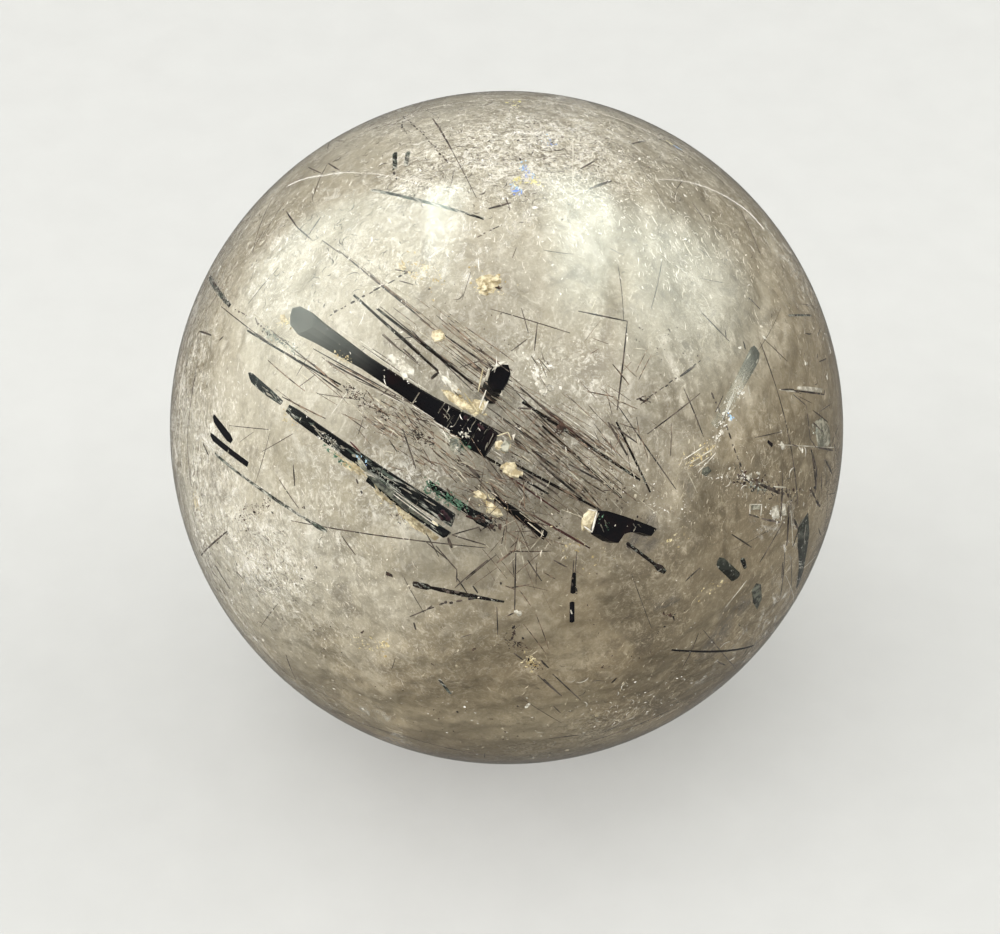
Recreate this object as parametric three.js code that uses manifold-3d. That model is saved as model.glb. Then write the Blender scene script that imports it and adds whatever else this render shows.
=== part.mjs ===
// A polished ball of tourmalinated quartz: clear to milky rock crystal that grew around rods and
// needles of black tourmaline, and was then ground to a sphere. Millimetres, +Z up. The origin is
// the middle of the small flat that the ball rests on.

import * as THREE from 'three';
import { mergeVertices } from 'three/addons/utils/BufferGeometryUtils.js';
import Module from 'manifold-3d';

const wasm = await Module();
wasm.setup();

// The ball
const BALL_RADIUS = 33.7;
const REST_RADIUS = 4.2;
const BALL_DETAIL = 9;
const CENTRE_HEIGHT = Math.sqrt(BALL_RADIUS ** 2 - REST_RADIUS ** 2);

// A plane that faces the viewer parts the ball, so that no pocket around a crystal is sealed
const PARTING_OFFSET = 0.78 * BALL_RADIUS;
const GAP = 0.3;

// A crystal that the polish cuts off ends this far under it
const POLISH_COVER = 0.05;
const OVERRUN = 2.5;

// The viewer, through whose eye the places of the front crystals are given
const VIEW_ELEVATION = THREE.MathUtils.degToRad(42);
const VIEW_DISTANCE = 320;
const QUARTZ_IOR = 1.544;

// Tourmaline grows as a three-cornered prism with rounded corners: the corners stand out by a share
// of the radius, and a rod is a little thinner from front to back than it is wide
const CORNER_SHARE = 0.12;
const ROD_SIDES = 9;
const NEEDLE_SIDES = 6;
const FLATNESS = 0.8;
const CRACK_WIDTH = 0.12;
const CRACK_REACH = 0.62;

const centre = new THREE.Vector3(0, 0, CENTRE_HEIGHT);
const across = new THREE.Vector3(1, 0, 0);
const upward = new THREE.Vector3(0, Math.sin(VIEW_ELEVATION), Math.cos(VIEW_ELEVATION));
const toEye = new THREE.Vector3(0, -Math.cos(VIEW_ELEVATION), Math.sin(VIEW_ELEVATION));

// Front crystals. Each end is where the eye sees it on the ball's disc, in millimetres across and
// up from its middle, and how deep it lies under the polish along the line of sight in the quartz.
// An end of depth 0 runs out to the polish. Widths go along the crystal as [share, width].
const rods = [
  {
    name: 'great_rod',
    from: [-20.8, 11.0, 0],
    to: [-1.4, -1.6, 5.2],
    widths: [
      [0, 1.9], [0.05, 2.45], [0.14, 2.0], [0.25, 1.7], [0.38, 1.3], [0.58, 1.4], [0.7, 1.6],
      [0.8, 2.05], [0.88, 2.5], [0.95, 2.65], [1, 2.4],
    ],
    cracks: [0.64, 0.75, 0.81, 0.87, 0.92, 0.96],
    slant: 0.05,
  },
  {
    name: 'long_rod',
    from: [-21.9, 2.0, 1.5],
    to: [-5.3, -9.2, 3.0],
    widths: [[0, 0.75], [0.06, 1.05], [0.5, 1.2], [0.85, 1.35], [1, 1.25]],
    cracks: [0.3, 0.58, 0.81],
    slant: 0.3,
  },
  {
    name: 'long_rod_top',
    from: [-25.5, 5.0, 0],
    to: [-22.5, 2.5, 1.3],
    widths: [[0, 0.95], [0.6, 0.8], [1, 0.5]],
  },
  {
    name: 'twin_rod',
    from: [-13.9, -5.1, 5.0],
    to: [-5.9, -10.7, 3.0],
    widths: [[0, 0.55], [0.3, 0.8], [1, 0.85]],
    cracks: [0.55],
    slant: -0.3,
  },
  {
    name: 'end_on_rod',
    from: [-0.7, 5.2, 5.0],
    to: [-1.6, 3.3, 11.0],
    widths: [[0, 1.85], [0.12, 2.0], [1, 1.5]],
    flatness: 1.3,
  },
  {
    name: 'maroon_rod',
    from: [-1.0, -7.0, 5.0],
    to: [3.9, -10.7, 7.5],
    widths: [[0, 0.45], [0.4, 0.75], [1, 0.8]],
    slant: 0.3,
  },
  {
    name: 'green_rod',
    from: [-7.7, -5.6, 7.5],
    to: [-1.7, -9.6, 4.2],
    widths: [[0, 0.6], [0.7, 0.7], [0.85, 1.1], [1, 0.9]],
    slant: -0.2,
  },
  {
    name: 'drop_needle',
    from: [12.1, -11.5, 1.5],
    to: [15.9, -14.4, 1.6],
    widths: [[0, 0.35], [0.72, 0.35], [0.86, 0.8], [1, 0.45]],
    sides: NEEDLE_SIDES,
  },
  {
    name: 'lower_rod',
    from: [-9.3, -15.6, 1.2],
    to: [-0.2, -17.4, 4.4],
    widths: [
      [0, 0.5], [0.03, 0.62], [0.16, 0.62], [0.2, 0.3], [0.3, 0.42], [0.62, 0.44], [0.67, 0.54],
      [0.71, 0.38], [1, 0.2],
    ],
    slant: -0.25,
  },
  {
    name: 'upright_rod_top',
    from: [6.8, -14.6, 2.0],
    to: [6.7, -16.4, 4.6],
    widths: [[0, 0.4], [1, 0.55]],
    sides: NEEDLE_SIDES,
  },
  {
    name: 'upright_rod_bottom',
    from: [6.6, -19.4, 0],
    to: [6.6, -17.5, 2.6],
    widths: [[0, 0.55], [1, 0.5]],
    sides: NEEDLE_SIDES,
  },
  {
    name: 'lower_splinter',
    from: [-5.5, -26.7, 0],
    to: [-6.7, -25.2, 1.6],
    widths: [[0, 0.35], [1, 0.3]],
    sides: NEEDLE_SIDES,
  },
  {
    name: 'left_edge_rod',
    from: [-29.7, 15.0, 0],
    to: [-27.7, 12.2, 1.6],
    widths: [[0, 0.6], [1, 0.5]],
    sides: NEEDLE_SIDES,
  },
  {
    name: 'left_upper_stub',
    from: [-29.3, 1.0, 0],
    to: [-27.5, -1.4, 2.2],
    widths: [[0, 0.4], [0.5, 0.85], [0.85, 0.85], [1, 0.5]],
    sides: NEEDLE_SIDES,
  },
  {
    name: 'left_lower_stub',
    from: [-29.5, -0.9, 0],
    to: [-25.9, -3.7, 2.2],
    widths: [[0, 0.7], [1, 0.6]],
    cracks: [0.5],
    sides: NEEDLE_SIDES,
  },
  {
    name: 'beaded_needle',
    from: [-29.2, -2.6, 0],
    to: [-18.0, -10.4, 3.0],
    widths: [[0, 0.35], [0.3, 0.3], [0.6, 0.36], [0.86, 0.3], [0.94, 0.55], [1, 0.3]],
    sides: NEEDLE_SIDES,
  },
  {
    name: 'upper_needle',
    from: [-13.7, 23.8, 0],
    to: [-2.3, 20.9, 2.6],
    widths: [[0, 0.3], [0.5, 0.36], [1, 0.24]],
    sides: NEEDLE_SIDES,
  },
  {
    name: 'upper_left_block',
    from: [-11.2, 27.5, 0],
    to: [-11.2, 25.9, 1.8],
    widths: [[0, 0.6], [1, 0.5]],
    sides: NEEDLE_SIDES,
  },
  {
    name: 'upper_right_block',
    from: [-9.9, 27.6, 0],
    to: [-10.1, 26.2, 1.4],
    widths: [[0, 0.55], [1, 0.45]],
    sides: NEEDLE_SIDES,
  },
  {
    name: 'smoky_rod',
    from: [24.9, 7.4, 0],
    to: [20.8, 0.2, 4.2],
    widths: [[0, 1.5], [0.2, 1.35], [1, 0.9]],
    smoky: true,
  },
  {
    name: 'right_wedge',
    from: [29.3, -15.4, 0],
    to: [29.7, -9.2, 2.4],
    widths: [[0, 0.7], [0.35, 1.3], [0.72, 2.2], [1, 1.9]],
    slant: 0.5,
  },
  {
    name: 'right_block',
    from: [21.6, -13.5, 0],
    to: [23.0, -14.8, 1.8],
    widths: [[0, 1.1], [1, 1.1]],
    smoky: true,
  },
  {
    name: 'right_shard',
    from: [23.7, -13.2, 0],
    to: [23.9, -13.9, 1.5],
    widths: [[0, 0.9], [1, 0.45]],
    sides: NEEDLE_SIDES,
  },
  {
    name: 'right_grain',
    from: [26.6, -1.7, 0],
    to: [26.2, -1.3, 1.5],
    widths: [[0, 0.65], [1, 0.3]],
    sides: NEEDLE_SIDES,
  },
  {
    name: 'right_needle',
    from: [30.5, 11.3, 0],
    to: [28.2, 11.3, 2.2],
    widths: [[0, 0.26], [1, 0.24]],
    sides: NEEDLE_SIDES,
  },
  {
    name: 'lower_right_needle',
    from: [24.9, -21.7, 0],
    to: [16.6, -22.2, 2.6],
    widths: [[0, 0.2], [0.5, 0.28], [1, 0.2]],
    sides: NEEDLE_SIDES,
  },
];

// The thicker needles of the middle bundle, placed as the rods are: [across, up, depth] at both
// ends, and the width
const bundle = [
  { from: [-15.3, 13.3, 2.4], to: [-6.7, 5.5, 3.6], width: 0.3 },
  { from: [-26.1, 9.8, 0], to: [-16.6, 4.3, 2.6], width: 0.24 },
  { from: [-12.9, 11.9, 3.2], to: [-3.4, 4.4, 4.8], width: 0.28 },
  { from: [1.6, 2.6, 4.8], to: [13.4, -5.2, 6.0], width: 0.34 },
  { from: [0.8, -3.6, 5.6], to: [9.4, -8.2, 7.4], width: 0.3 },
  { from: [3.6, 0.2, 6.2], to: [11.6, -7.0, 9.0], width: 0.26 },
  { from: [-5.6, -0.8, 8.6], to: [4.2, -6.6, 4.6], width: 0.28 },
  { from: [11.0, 0.6, 3.4], to: [14.4, -6.4, 6.4], width: 0.24 },
];

// Crystals on the sides that the eye doesn't reach, in groups that grew nearly side by side. Each
// starts on the polish, where it is cut off, at an azimuth round from +X and a height up from the
// horizontal. From there it runs off at a turn from east towards up, and dips under the polish,
// all in degrees
const hiddenRods = [
  { start: [62, 24], turn: -30, dip: 27, length: 17, width: 2.1, cracks: [0.35, 0.62, 0.83] },
  { start: [60, 12], turn: -27, dip: 24, length: 12, width: 0.9 },
  { start: [78, 33], turn: -33, dip: 24, length: 14, width: 0.7 },
  { start: [98, 22], turn: -26, dip: 29, length: 15, width: 1.3 },
  { start: [112, 13], turn: -31, dip: 22, length: 10, width: 0.6 },
  { start: [84, -6], turn: -22, dip: 26, length: 9, width: 1.0 },
  { start: [126, -34], turn: 158, dip: 24, length: 13, width: 1.0 },
  { start: [80, -38], turn: 34, dip: 25, length: 10, width: 0.6 },
  { start: [164, 12], turn: 208, dip: 26, length: 14, width: 1.5, cracks: [0.4] },
  { start: [160, 2], turn: 202, dip: 22, length: 9, width: 0.6 },
  { start: [176, -34], turn: 196, dip: 24, length: 12, width: 0.8 },
  { start: [18, 10], turn: -28, dip: 26, length: 13, width: 1.2 },
  { start: [14, -2], turn: -24, dip: 22, length: 10, width: 0.5 },
  { start: [350, -48], turn: 66, dip: 24, length: 10, width: 0.7 },
];

// How a hidden crystal's width changes along it, as [share of its length, share of its width]
const HIDDEN_TAPER = [[0, 0.86], [0.25, 1], [0.7, 0.88], [1, 0.7]];
const HIDDEN_SLANT = 0.35;

// The dark chunk: a flat slab whose outline goes clockwise, across and up from its middle
const chunk = {
  name: 'dark_chunk',
  from: [8.7, -9.4, 2.9],
  to: [15.0, -10.4, 5.2],
  outline: [
    [-3.0, 1.1], [-2.6, 1.15], [-0.85, 0.95], [0.9, 0.7], [2.4, 0.45], [3.15, 0.25], [2.7, -0.45],
    [1.4, -0.3], [0.35, -0.4], [-0.3, -0.65], [-0.8, -1.55], [-1.7, -1.5], [-3.1, -1.05], [-3.25, -0.6],
  ],
  thickness: 1.3,
};

// Where a place lies that the eye sees at [across, up] on the disc, depth under the polish. The
// line of sight bends as it enters the quartz
function placeSeen([acrossSeen, upSeen, depth]) {
  const eye = centre.clone().addScaledVector(toEye, VIEW_DISTANCE);
  const rimDistance = Math.sqrt(VIEW_DISTANCE ** 2 - BALL_RADIUS ** 2);
  const sight = across.clone().multiplyScalar(acrossSeen).addScaledVector(upward, upSeen);
  sight.addScaledVector(toEye, -rimDistance).normalize();
  const entry = new THREE.Ray(eye, sight).intersectSphere(
    new THREE.Sphere(centre, BALL_RADIUS), new THREE.Vector3());
  const normal = entry.clone().sub(centre).normalize();
  const cosIn = -sight.dot(normal);
  const ratio = 1 / QUARTZ_IOR;
  const cosOut = Math.sqrt(1 - ratio ** 2 * (1 - cosIn ** 2));
  const bent = sight.multiplyScalar(ratio).addScaledVector(normal, ratio * cosIn - cosOut);
  return entry.addScaledVector(bent, depth);
}

// A unit vector from its azimuth and height in degrees
function heading([azimuth, height]) {
  const polar = THREE.MathUtils.degToRad(90 - height);
  const turn = THREE.MathUtils.degToRad(azimuth);
  return new THREE.Vector3(
    Math.sin(polar) * Math.cos(turn), Math.sin(polar) * Math.sin(turn), Math.cos(polar));
}

// The direction that runs off a place on the ball at a turn from east towards up, dipping under it
function runningOff(outward, turn, dip) {
  const east = new THREE.Vector3(0, 0, 1).cross(outward).normalize();
  const level = outward.clone().cross(east).multiplyScalar(Math.sin(turn));
  level.addScaledVector(east, Math.cos(turn));
  return level.multiplyScalar(Math.cos(dip)).addScaledVector(outward, -Math.sin(dip));
}

// A placement whose Y axis runs from one point to the other and whose Z axis leans to the eye
function placement(start, end) {
  const y = end.clone().sub(start).normalize();
  const z = toEye.clone().addScaledVector(y, -toEye.dot(y)).normalize();
  const x = y.clone().cross(z);
  return new THREE.Matrix4().makeBasis(x, y, z).setPosition(start);
}

function toSolid(geometry) {
  const bare = geometry.clone();
  bare.deleteAttribute('normal');
  bare.deleteAttribute('uv');
  const merged = mergeVertices(bare, 1e-4);
  return new wasm.Manifold(new wasm.Mesh({
    numProp: 3,
    vertProperties: new Float32Array(merged.attributes.position.array),
    triVerts: new Uint32Array(merged.index.array),
  }));
}

function toGeometry(solid) {
  const { vertProperties, triVerts } = solid.getMesh();
  const geometry = new THREE.BufferGeometry();
  geometry.setAttribute('position', new THREE.BufferAttribute(vertProperties, 3));
  geometry.setIndex(new THREE.BufferAttribute(triVerts, 1));
  geometry.computeVertexNormals();
  return geometry;
}

function ball(radius) {
  return new THREE.IcosahedronGeometry(radius, BALL_DETAIL).translate(...centre);
}

function box(size, middle) {
  return new THREE.BoxGeometry(...size).translate(...middle);
}

// A prism along +Y. Its rings lie at the shares of the length that widths gives, grow makes all of
// it larger by so much on every side, and an end in open runs on past the length by the overrun
function prism(length, { widths, slant = 0, flatness = FLATNESS, sides = ROD_SIDES }, open, grow) {
  const rings = widths.length - 1;
  const geometry = new THREE.CylinderGeometry(1, 1, 1, sides, rings);
  const place = geometry.attributes.position;
  for (let i = 0; i < place.count; i += 1) {
    const ring = Math.round((place.getY(i) + 0.5) * rings);
    const [share, width] = widths[ring];
    const turn = Math.atan2(place.getZ(i), place.getX(i));
    const reach = Math.hypot(place.getX(i), place.getZ(i)) * (1 + CORNER_SHARE * Math.cos(3 * turn));
    const x = reach * (width / 2 + grow) * Math.cos(turn);
    const z = reach * (width / 2 * flatness + grow) * Math.sin(turn);
    let y = share * length;
    if (ring === 0) y -= open ? OVERRUN : grow;
    if (ring === rings) y += grow + slant * x;
    place.setXYZ(i, x, y, z);
  }
  return geometry;
}

// Cracks part way across a rod, from its two sides in turn
function cracks(length, { widths, cracks: shares = [] }) {
  const widest = Math.max(...widths.map(([, width]) => width));
  return shares.map((share, i) => {
    const side = i % 2 === 0 ? 1 : -1;
    const offset = side * widest * (1 - CRACK_REACH);
    return box([widest, CRACK_WIDTH, 2 * widest], [offset, share * length, 0]);
  });
}

const crystalGroup = new THREE.Group();
const pockets = [];

function addCrystal(name, solid, matrix, material) {
  const mesh = new THREE.Mesh(toGeometry(solid), material);
  mesh.name = name;
  matrix.decompose(mesh.position, mesh.quaternion, mesh.scale);
  crystalGroup.add(mesh);
}

function addPocket(geometry, matrix) {
  pockets.push(toSolid(geometry.applyMatrix4(matrix)));
}

function tourmaline({ smoky = false }) {
  return new THREE.MeshStandardMaterial({
    color: smoky ? 0x4a4a3c : 0x0b0b0d,
    roughness: 0.28,
    metalness: 0,
  });
}

// A rod or needle from start to end. If it is open, the polish cuts it off at its start
function addRod(spec, start, end, open) {
  const matrix = placement(start, end);
  const length = start.distanceTo(end);
  let solid = toSolid(prism(length, spec, open, 0));
  for (const crack of cracks(length, spec)) solid = solid.subtract(toSolid(crack));
  if (open) {
    const polish = ball(BALL_RADIUS - POLISH_COVER).applyMatrix4(matrix.clone().invert());
    solid = solid.intersect(toSolid(polish));
  }
  addCrystal(spec.name, solid, matrix, tourmaline(spec));
  addPocket(prism(length, spec, open, GAP), matrix);
}

for (const spec of rods) {
  addRod(spec, placeSeen(spec.from), placeSeen(spec.to), spec.from[2] === 0);
}

bundle.forEach(({ from, to, width }, i) => {
  const spec = {
    name: `bundle_needle_${i + 1}`,
    widths: [[0, width * 0.8], [0.5, width], [1, width * 0.7]],
    sides: NEEDLE_SIDES,
  };
  addRod(spec, placeSeen(from), placeSeen(to), from[2] === 0);
});

hiddenRods.forEach((rod, i) => {
  const outward = heading(rod.start);
  const run = runningOff(
    outward, THREE.MathUtils.degToRad(rod.turn), THREE.MathUtils.degToRad(rod.dip));
  const start = outward.multiplyScalar(BALL_RADIUS).add(centre);
  const end = start.clone().addScaledVector(run, rod.length);
  const spec = {
    name: `hidden_rod_${i + 1}`,
    widths: HIDDEN_TAPER.map(([share, scale]) => [share, scale * rod.width]),
    cracks: rod.cracks,
    slant: i % 2 === 0 ? HIDDEN_SLANT : -HIDDEN_SLANT,
    sides: rod.cracks ? ROD_SIDES : NEEDLE_SIDES,
  };
  addRod(spec, start, end, true);
});

// Outward normal of the side of a clockwise outline that starts at its corner i
function sideNormal(outline, i) {
  const corner = outline.at(i);
  const next = outline[(i + outline.length + 1) % outline.length];
  return new THREE.Vector2(corner[1] - next[1], next[0] - corner[0]).normalize();
}

// The chunk's slab lies between its two seen ends, with its face to the eye
function slab(outline, thickness, grow) {
  const grown = outline.map(([x, y], i) => {
    const before = sideNormal(outline, i - 1);
    const after = sideNormal(outline, i);
    const share = grow / (1 + before.dot(after));
    return new THREE.Vector2(x, y).addScaledVector(before.add(after), share);
  });
  return new THREE.ExtrudeGeometry(new THREE.Shape(grown), {
    depth: thickness + 2 * grow,
    bevelEnabled: false,
  }).translate(0, 0, -thickness / 2 - grow);
}

const chunkStart = placeSeen(chunk.from);
const chunkEnd = placeSeen(chunk.to);
const quarterTurn = new THREE.Matrix4().makeRotationZ(Math.PI / 2);
const chunkPlace = placement(chunkStart, chunkEnd).multiply(quarterTurn);
chunkPlace.setPosition(chunkStart.clone().lerp(chunkEnd, 0.5));
addCrystal(
  chunk.name, toSolid(slab(chunk.outline, chunk.thickness, 0)), chunkPlace, tourmaline(chunk));
addPocket(slab(chunk.outline, chunk.thickness, GAP), chunkPlace);

// The quartz: a ball with its rest flat cut, all pockets taken out, and parted in two
const belowRest = box(Array(3).fill(2 * BALL_RADIUS), [0, 0, -BALL_RADIUS]);
let quartz = toSolid(ball(BALL_RADIUS)).subtract(toSolid(belowRest));
for (const pocket of pockets) quartz = quartz.subtract(pocket);

// A block on the eye's side of the parting plane, or on the far side if side is -1
function halfSpace(side) {
  const size = 4 * BALL_RADIUS;
  const away = PARTING_OFFSET + side * (size + GAP) / 2;
  const block = new THREE.BoxGeometry(size, size, size).translate(0, 0, away);
  return toSolid(block.applyMatrix4(
    new THREE.Matrix4().makeBasis(across, upward, toEye).setPosition(centre)));
}

const quartzGroup = new THREE.Group();
for (const [name, side] of [['quartz_front', 1], ['quartz_back', -1]]) {
  const mesh = new THREE.Mesh(
    toGeometry(quartz.intersect(halfSpace(side))),
    new THREE.MeshStandardMaterial({ color: 0xcbc2a8, roughness: 0.05, metalness: 0 }));
  mesh.name = name;
  quartzGroup.add(mesh);
}

const stone = new THREE.Group();
stone.add(quartzGroup, crystalGroup);

export default stone;
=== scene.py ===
"""The looks of a tourmalinated quartz ball: one clear ball of quartz over the frame's crystals, and
inside it the milky cloud, veils, flecks, stain and hair-thin needles. Metres, +Z up."""

import math
import random

import bpy
from mathutils import Matrix, Vector, noise
from mathutils.bvhtree import BVHTree


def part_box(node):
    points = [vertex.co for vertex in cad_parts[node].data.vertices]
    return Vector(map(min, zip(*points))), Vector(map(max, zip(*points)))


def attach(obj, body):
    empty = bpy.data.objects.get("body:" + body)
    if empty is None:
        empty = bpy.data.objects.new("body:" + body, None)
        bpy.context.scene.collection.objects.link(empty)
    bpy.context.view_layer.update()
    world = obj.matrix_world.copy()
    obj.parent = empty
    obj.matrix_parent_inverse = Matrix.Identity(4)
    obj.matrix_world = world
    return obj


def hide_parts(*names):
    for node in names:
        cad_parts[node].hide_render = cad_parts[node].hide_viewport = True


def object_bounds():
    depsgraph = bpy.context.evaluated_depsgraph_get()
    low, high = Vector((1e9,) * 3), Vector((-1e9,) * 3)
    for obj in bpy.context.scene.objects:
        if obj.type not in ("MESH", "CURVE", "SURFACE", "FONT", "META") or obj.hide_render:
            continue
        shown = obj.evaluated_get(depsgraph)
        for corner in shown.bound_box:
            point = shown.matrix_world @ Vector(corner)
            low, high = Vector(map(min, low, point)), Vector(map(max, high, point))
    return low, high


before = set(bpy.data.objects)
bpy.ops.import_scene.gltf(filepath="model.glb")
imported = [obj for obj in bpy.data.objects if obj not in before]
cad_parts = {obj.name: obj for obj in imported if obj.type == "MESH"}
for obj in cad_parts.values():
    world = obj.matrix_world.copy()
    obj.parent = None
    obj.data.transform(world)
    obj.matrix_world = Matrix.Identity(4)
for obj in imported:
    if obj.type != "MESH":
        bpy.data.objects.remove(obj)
cad_low, cad_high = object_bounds()

MM = 0.001

# The ball, measured on the frame's solids
back_low, back_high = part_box("quartz_back")
BALL_RADIUS = (back_high.x - back_low.x) / 2
CENTRE = Vector((0, 0, cad_high.z - BALL_RADIUS))
QUARTZ_IOR = 1.544

# The eye that the photo's view is seen through
VIEW_ELEVATION = math.radians(42)
VIEW_DISTANCE = 320 * MM
ACROSS = Vector((1, 0, 0))
UPWARD = Vector((0, math.sin(VIEW_ELEVATION), math.cos(VIEW_ELEVATION)))
TO_EYE = Vector((0, -math.cos(VIEW_ELEVATION), math.sin(VIEW_ELEVATION)))
RIM_DISTANCE = math.sqrt(VIEW_DISTANCE**2 - BALL_RADIUS**2)

# The photo's frame, and the ball's disc in it, in pixels
FRAME_WIDTH = 1000
FRAME_HEIGHT = 934
DISC_X = 506.4
DISC_Y = 428.0
DISC_RADIUS = 336.7
PIXEL = BALL_RADIUS / DISC_RADIUS


def line_of_sight(x, y):
    """Where the line of sight through a pixel meets the polish, from the centre, and its heading."""
    sight = ACROSS * ((x - DISC_X) * PIXEL) + UPWARD * ((DISC_Y - y) * PIXEL) - TO_EYE * RIM_DISTANCE
    sight.normalize()
    eye = TO_EYE * VIEW_DISTANCE
    nearest = -eye.dot(sight)
    inside = nearest**2 - eye.length_squared + BALL_RADIUS**2
    return eye + sight * (nearest - math.sqrt(max(inside, 0))), sight


def refracted(x, y):
    """The same place on the polish, and the heading of the bent line of sight in the quartz."""
    entry, sight = line_of_sight(x, y)
    normal = entry.normalized()
    cos_in = -sight.dot(normal)
    ratio = 1 / QUARTZ_IOR
    cos_out = math.sqrt(1 - ratio**2 * (1 - cos_in**2))
    return CENTRE + entry, sight * ratio + normal * (ratio * cos_in - cos_out)


def seen(x, y, depth):
    """The place that is seen at a pixel, and lies depth millimetres under the polish."""
    entry, bent = refracted(x, y)
    return entry + bent * (depth * MM)


def mirrored(x, y):
    """The direction that the polish mirrors at a pixel."""
    entry, sight = line_of_sight(x, y)
    return sight.reflect(entry.normalized())


# Material nodes

def new_material(name):
    material = bpy.data.materials.new(name)
    material.use_nodes = True
    tree = material.node_tree
    return material, tree, tree.nodes["Principled BSDF"]


def link(tree, source, target):
    tree.links.new(source, target)


def object_place(tree):
    return tree.nodes.new("ShaderNodeTexCoord").outputs["Object"]


def stretched(tree, vector, axis, factor):
    """The place with lengths along the axis shortened, so that a texture is drawn out along it."""
    node = tree.nodes.new("ShaderNodeMapping")
    node.vector_type = "TEXTURE"
    node.inputs["Rotation"].default_value = axis.to_track_quat("Z", "Y").to_euler()
    node.inputs["Scale"].default_value = (1, 1, factor)
    link(tree, vector, node.inputs["Vector"])
    return node.outputs["Vector"]


def noise_node(tree, vector, scale, detail=4, roughness=0.55, distortion=0.0):
    node = tree.nodes.new("ShaderNodeTexNoise")
    link(tree, vector, node.inputs["Vector"])
    node.inputs["Scale"].default_value = scale
    node.inputs["Detail"].default_value = detail
    node.inputs["Roughness"].default_value = roughness
    node.inputs["Distortion"].default_value = distortion
    return node.outputs["Fac"]


def warped(tree, vector, scale, reach):
    """The place moved about by noise, by up to about half the reach."""
    wave = tree.nodes.new("ShaderNodeTexNoise")
    link(tree, vector, wave.inputs["Vector"])
    wave.inputs["Scale"].default_value = scale
    node = tree.nodes.new("ShaderNodeVectorMath")
    node.operation = "MULTIPLY_ADD"
    link(tree, wave.outputs["Color"], node.inputs[0])
    node.inputs[1].default_value = (reach, reach, reach)
    link(tree, vector, node.inputs[2])
    return node.outputs["Vector"]


def remap(tree, value, low, high, to_low=0.0, to_high=1.0):
    node = tree.nodes.new("ShaderNodeMapRange")
    node.interpolation_type = "SMOOTHSTEP"
    link(tree, value, node.inputs["Value"])
    node.inputs["From Min"].default_value = low
    node.inputs["From Max"].default_value = high
    node.inputs["To Min"].default_value = to_low
    node.inputs["To Max"].default_value = to_high
    return node.outputs["Result"]


def mix(tree, share, first, second):
    """A colour between first and second, each a colour or a socket."""
    node = tree.nodes.new("ShaderNodeMix")
    node.data_type = "RGBA"
    sockets = [s for s in node.inputs if s.type == "RGBA"]
    factor = [s for s in node.inputs if s.type == "VALUE"][0]
    link(tree, share, factor)
    for socket, colour in zip(sockets, (first, second)):
        if isinstance(colour, tuple):
            socket.default_value = (*colour, 1)
        else:
            link(tree, colour, socket)
    return [s for s in node.outputs if s.type == "RGBA"][0]


def maths(tree, operation, first, second):
    node = tree.nodes.new("ShaderNodeMath")
    node.operation = operation
    for socket, value in zip(node.inputs, (first, second)):
        if isinstance(value, (int, float)):
            socket.default_value = value
        else:
            link(tree, value, socket)
    return node.outputs["Value"]


def winding_lines(tree, vector, scale, width):
    """1 on thin winding lines, and 0 beside them."""
    off = maths(tree, "SUBTRACT", noise_node(tree, vector, scale, 3, 0.5), 0.5)
    return remap(tree, maths(tree, "ABSOLUTE", off, 0), 0, width, 1, 0)


def along(tree, vector, direction):
    """How far a place lies along a direction, in ball radii from the centre."""
    node = tree.nodes.new("ShaderNodeVectorMath")
    node.operation = "DOT_PRODUCT"
    link(tree, vector, node.inputs[0])
    node.inputs[1].default_value = direction / BALL_RADIUS
    return maths(tree, "SUBTRACT", node.outputs["Value"], direction.dot(CENTRE) / BALL_RADIUS)


def distance_from(tree, vector, point):
    """How far a place lies from a point."""
    node = tree.nodes.new("ShaderNodeVectorMath")
    node.operation = "DISTANCE"
    link(tree, vector, node.inputs[0])
    node.inputs[1].default_value = point
    return node.outputs["Value"]


def add_bump(tree, shader, height, strength, distance):
    node = tree.nodes.new("ShaderNodeBump")
    node.inputs["Strength"].default_value = strength
    node.inputs["Distance"].default_value = distance
    link(tree, height, node.inputs["Height"])
    link(tree, node.outputs["Normal"], shader.inputs["Normal"])


# Materials

def quartz_material():
    material, tree, shader = new_material("clear_quartz")
    shader.inputs["Base Color"].default_value = (1, 1, 1, 1)
    shader.inputs["Transmission Weight"].default_value = 1
    shader.inputs["IOR"].default_value = QUARTZ_IOR
    shader.inputs["Roughness"].default_value = 0.0
    absorption = tree.nodes.new("ShaderNodeVolumeAbsorption")
    absorption.inputs["Color"].default_value = (0.82, 0.78, 0.66, 1)
    absorption.inputs["Density"].default_value = 14
    link(tree, absorption.outputs["Volume"], tree.nodes["Material Output"].inputs["Volume"])
    return material


# The cloud's surface, and soft-edged places on it. Each is a middle pixel and a radius in pixels

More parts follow.
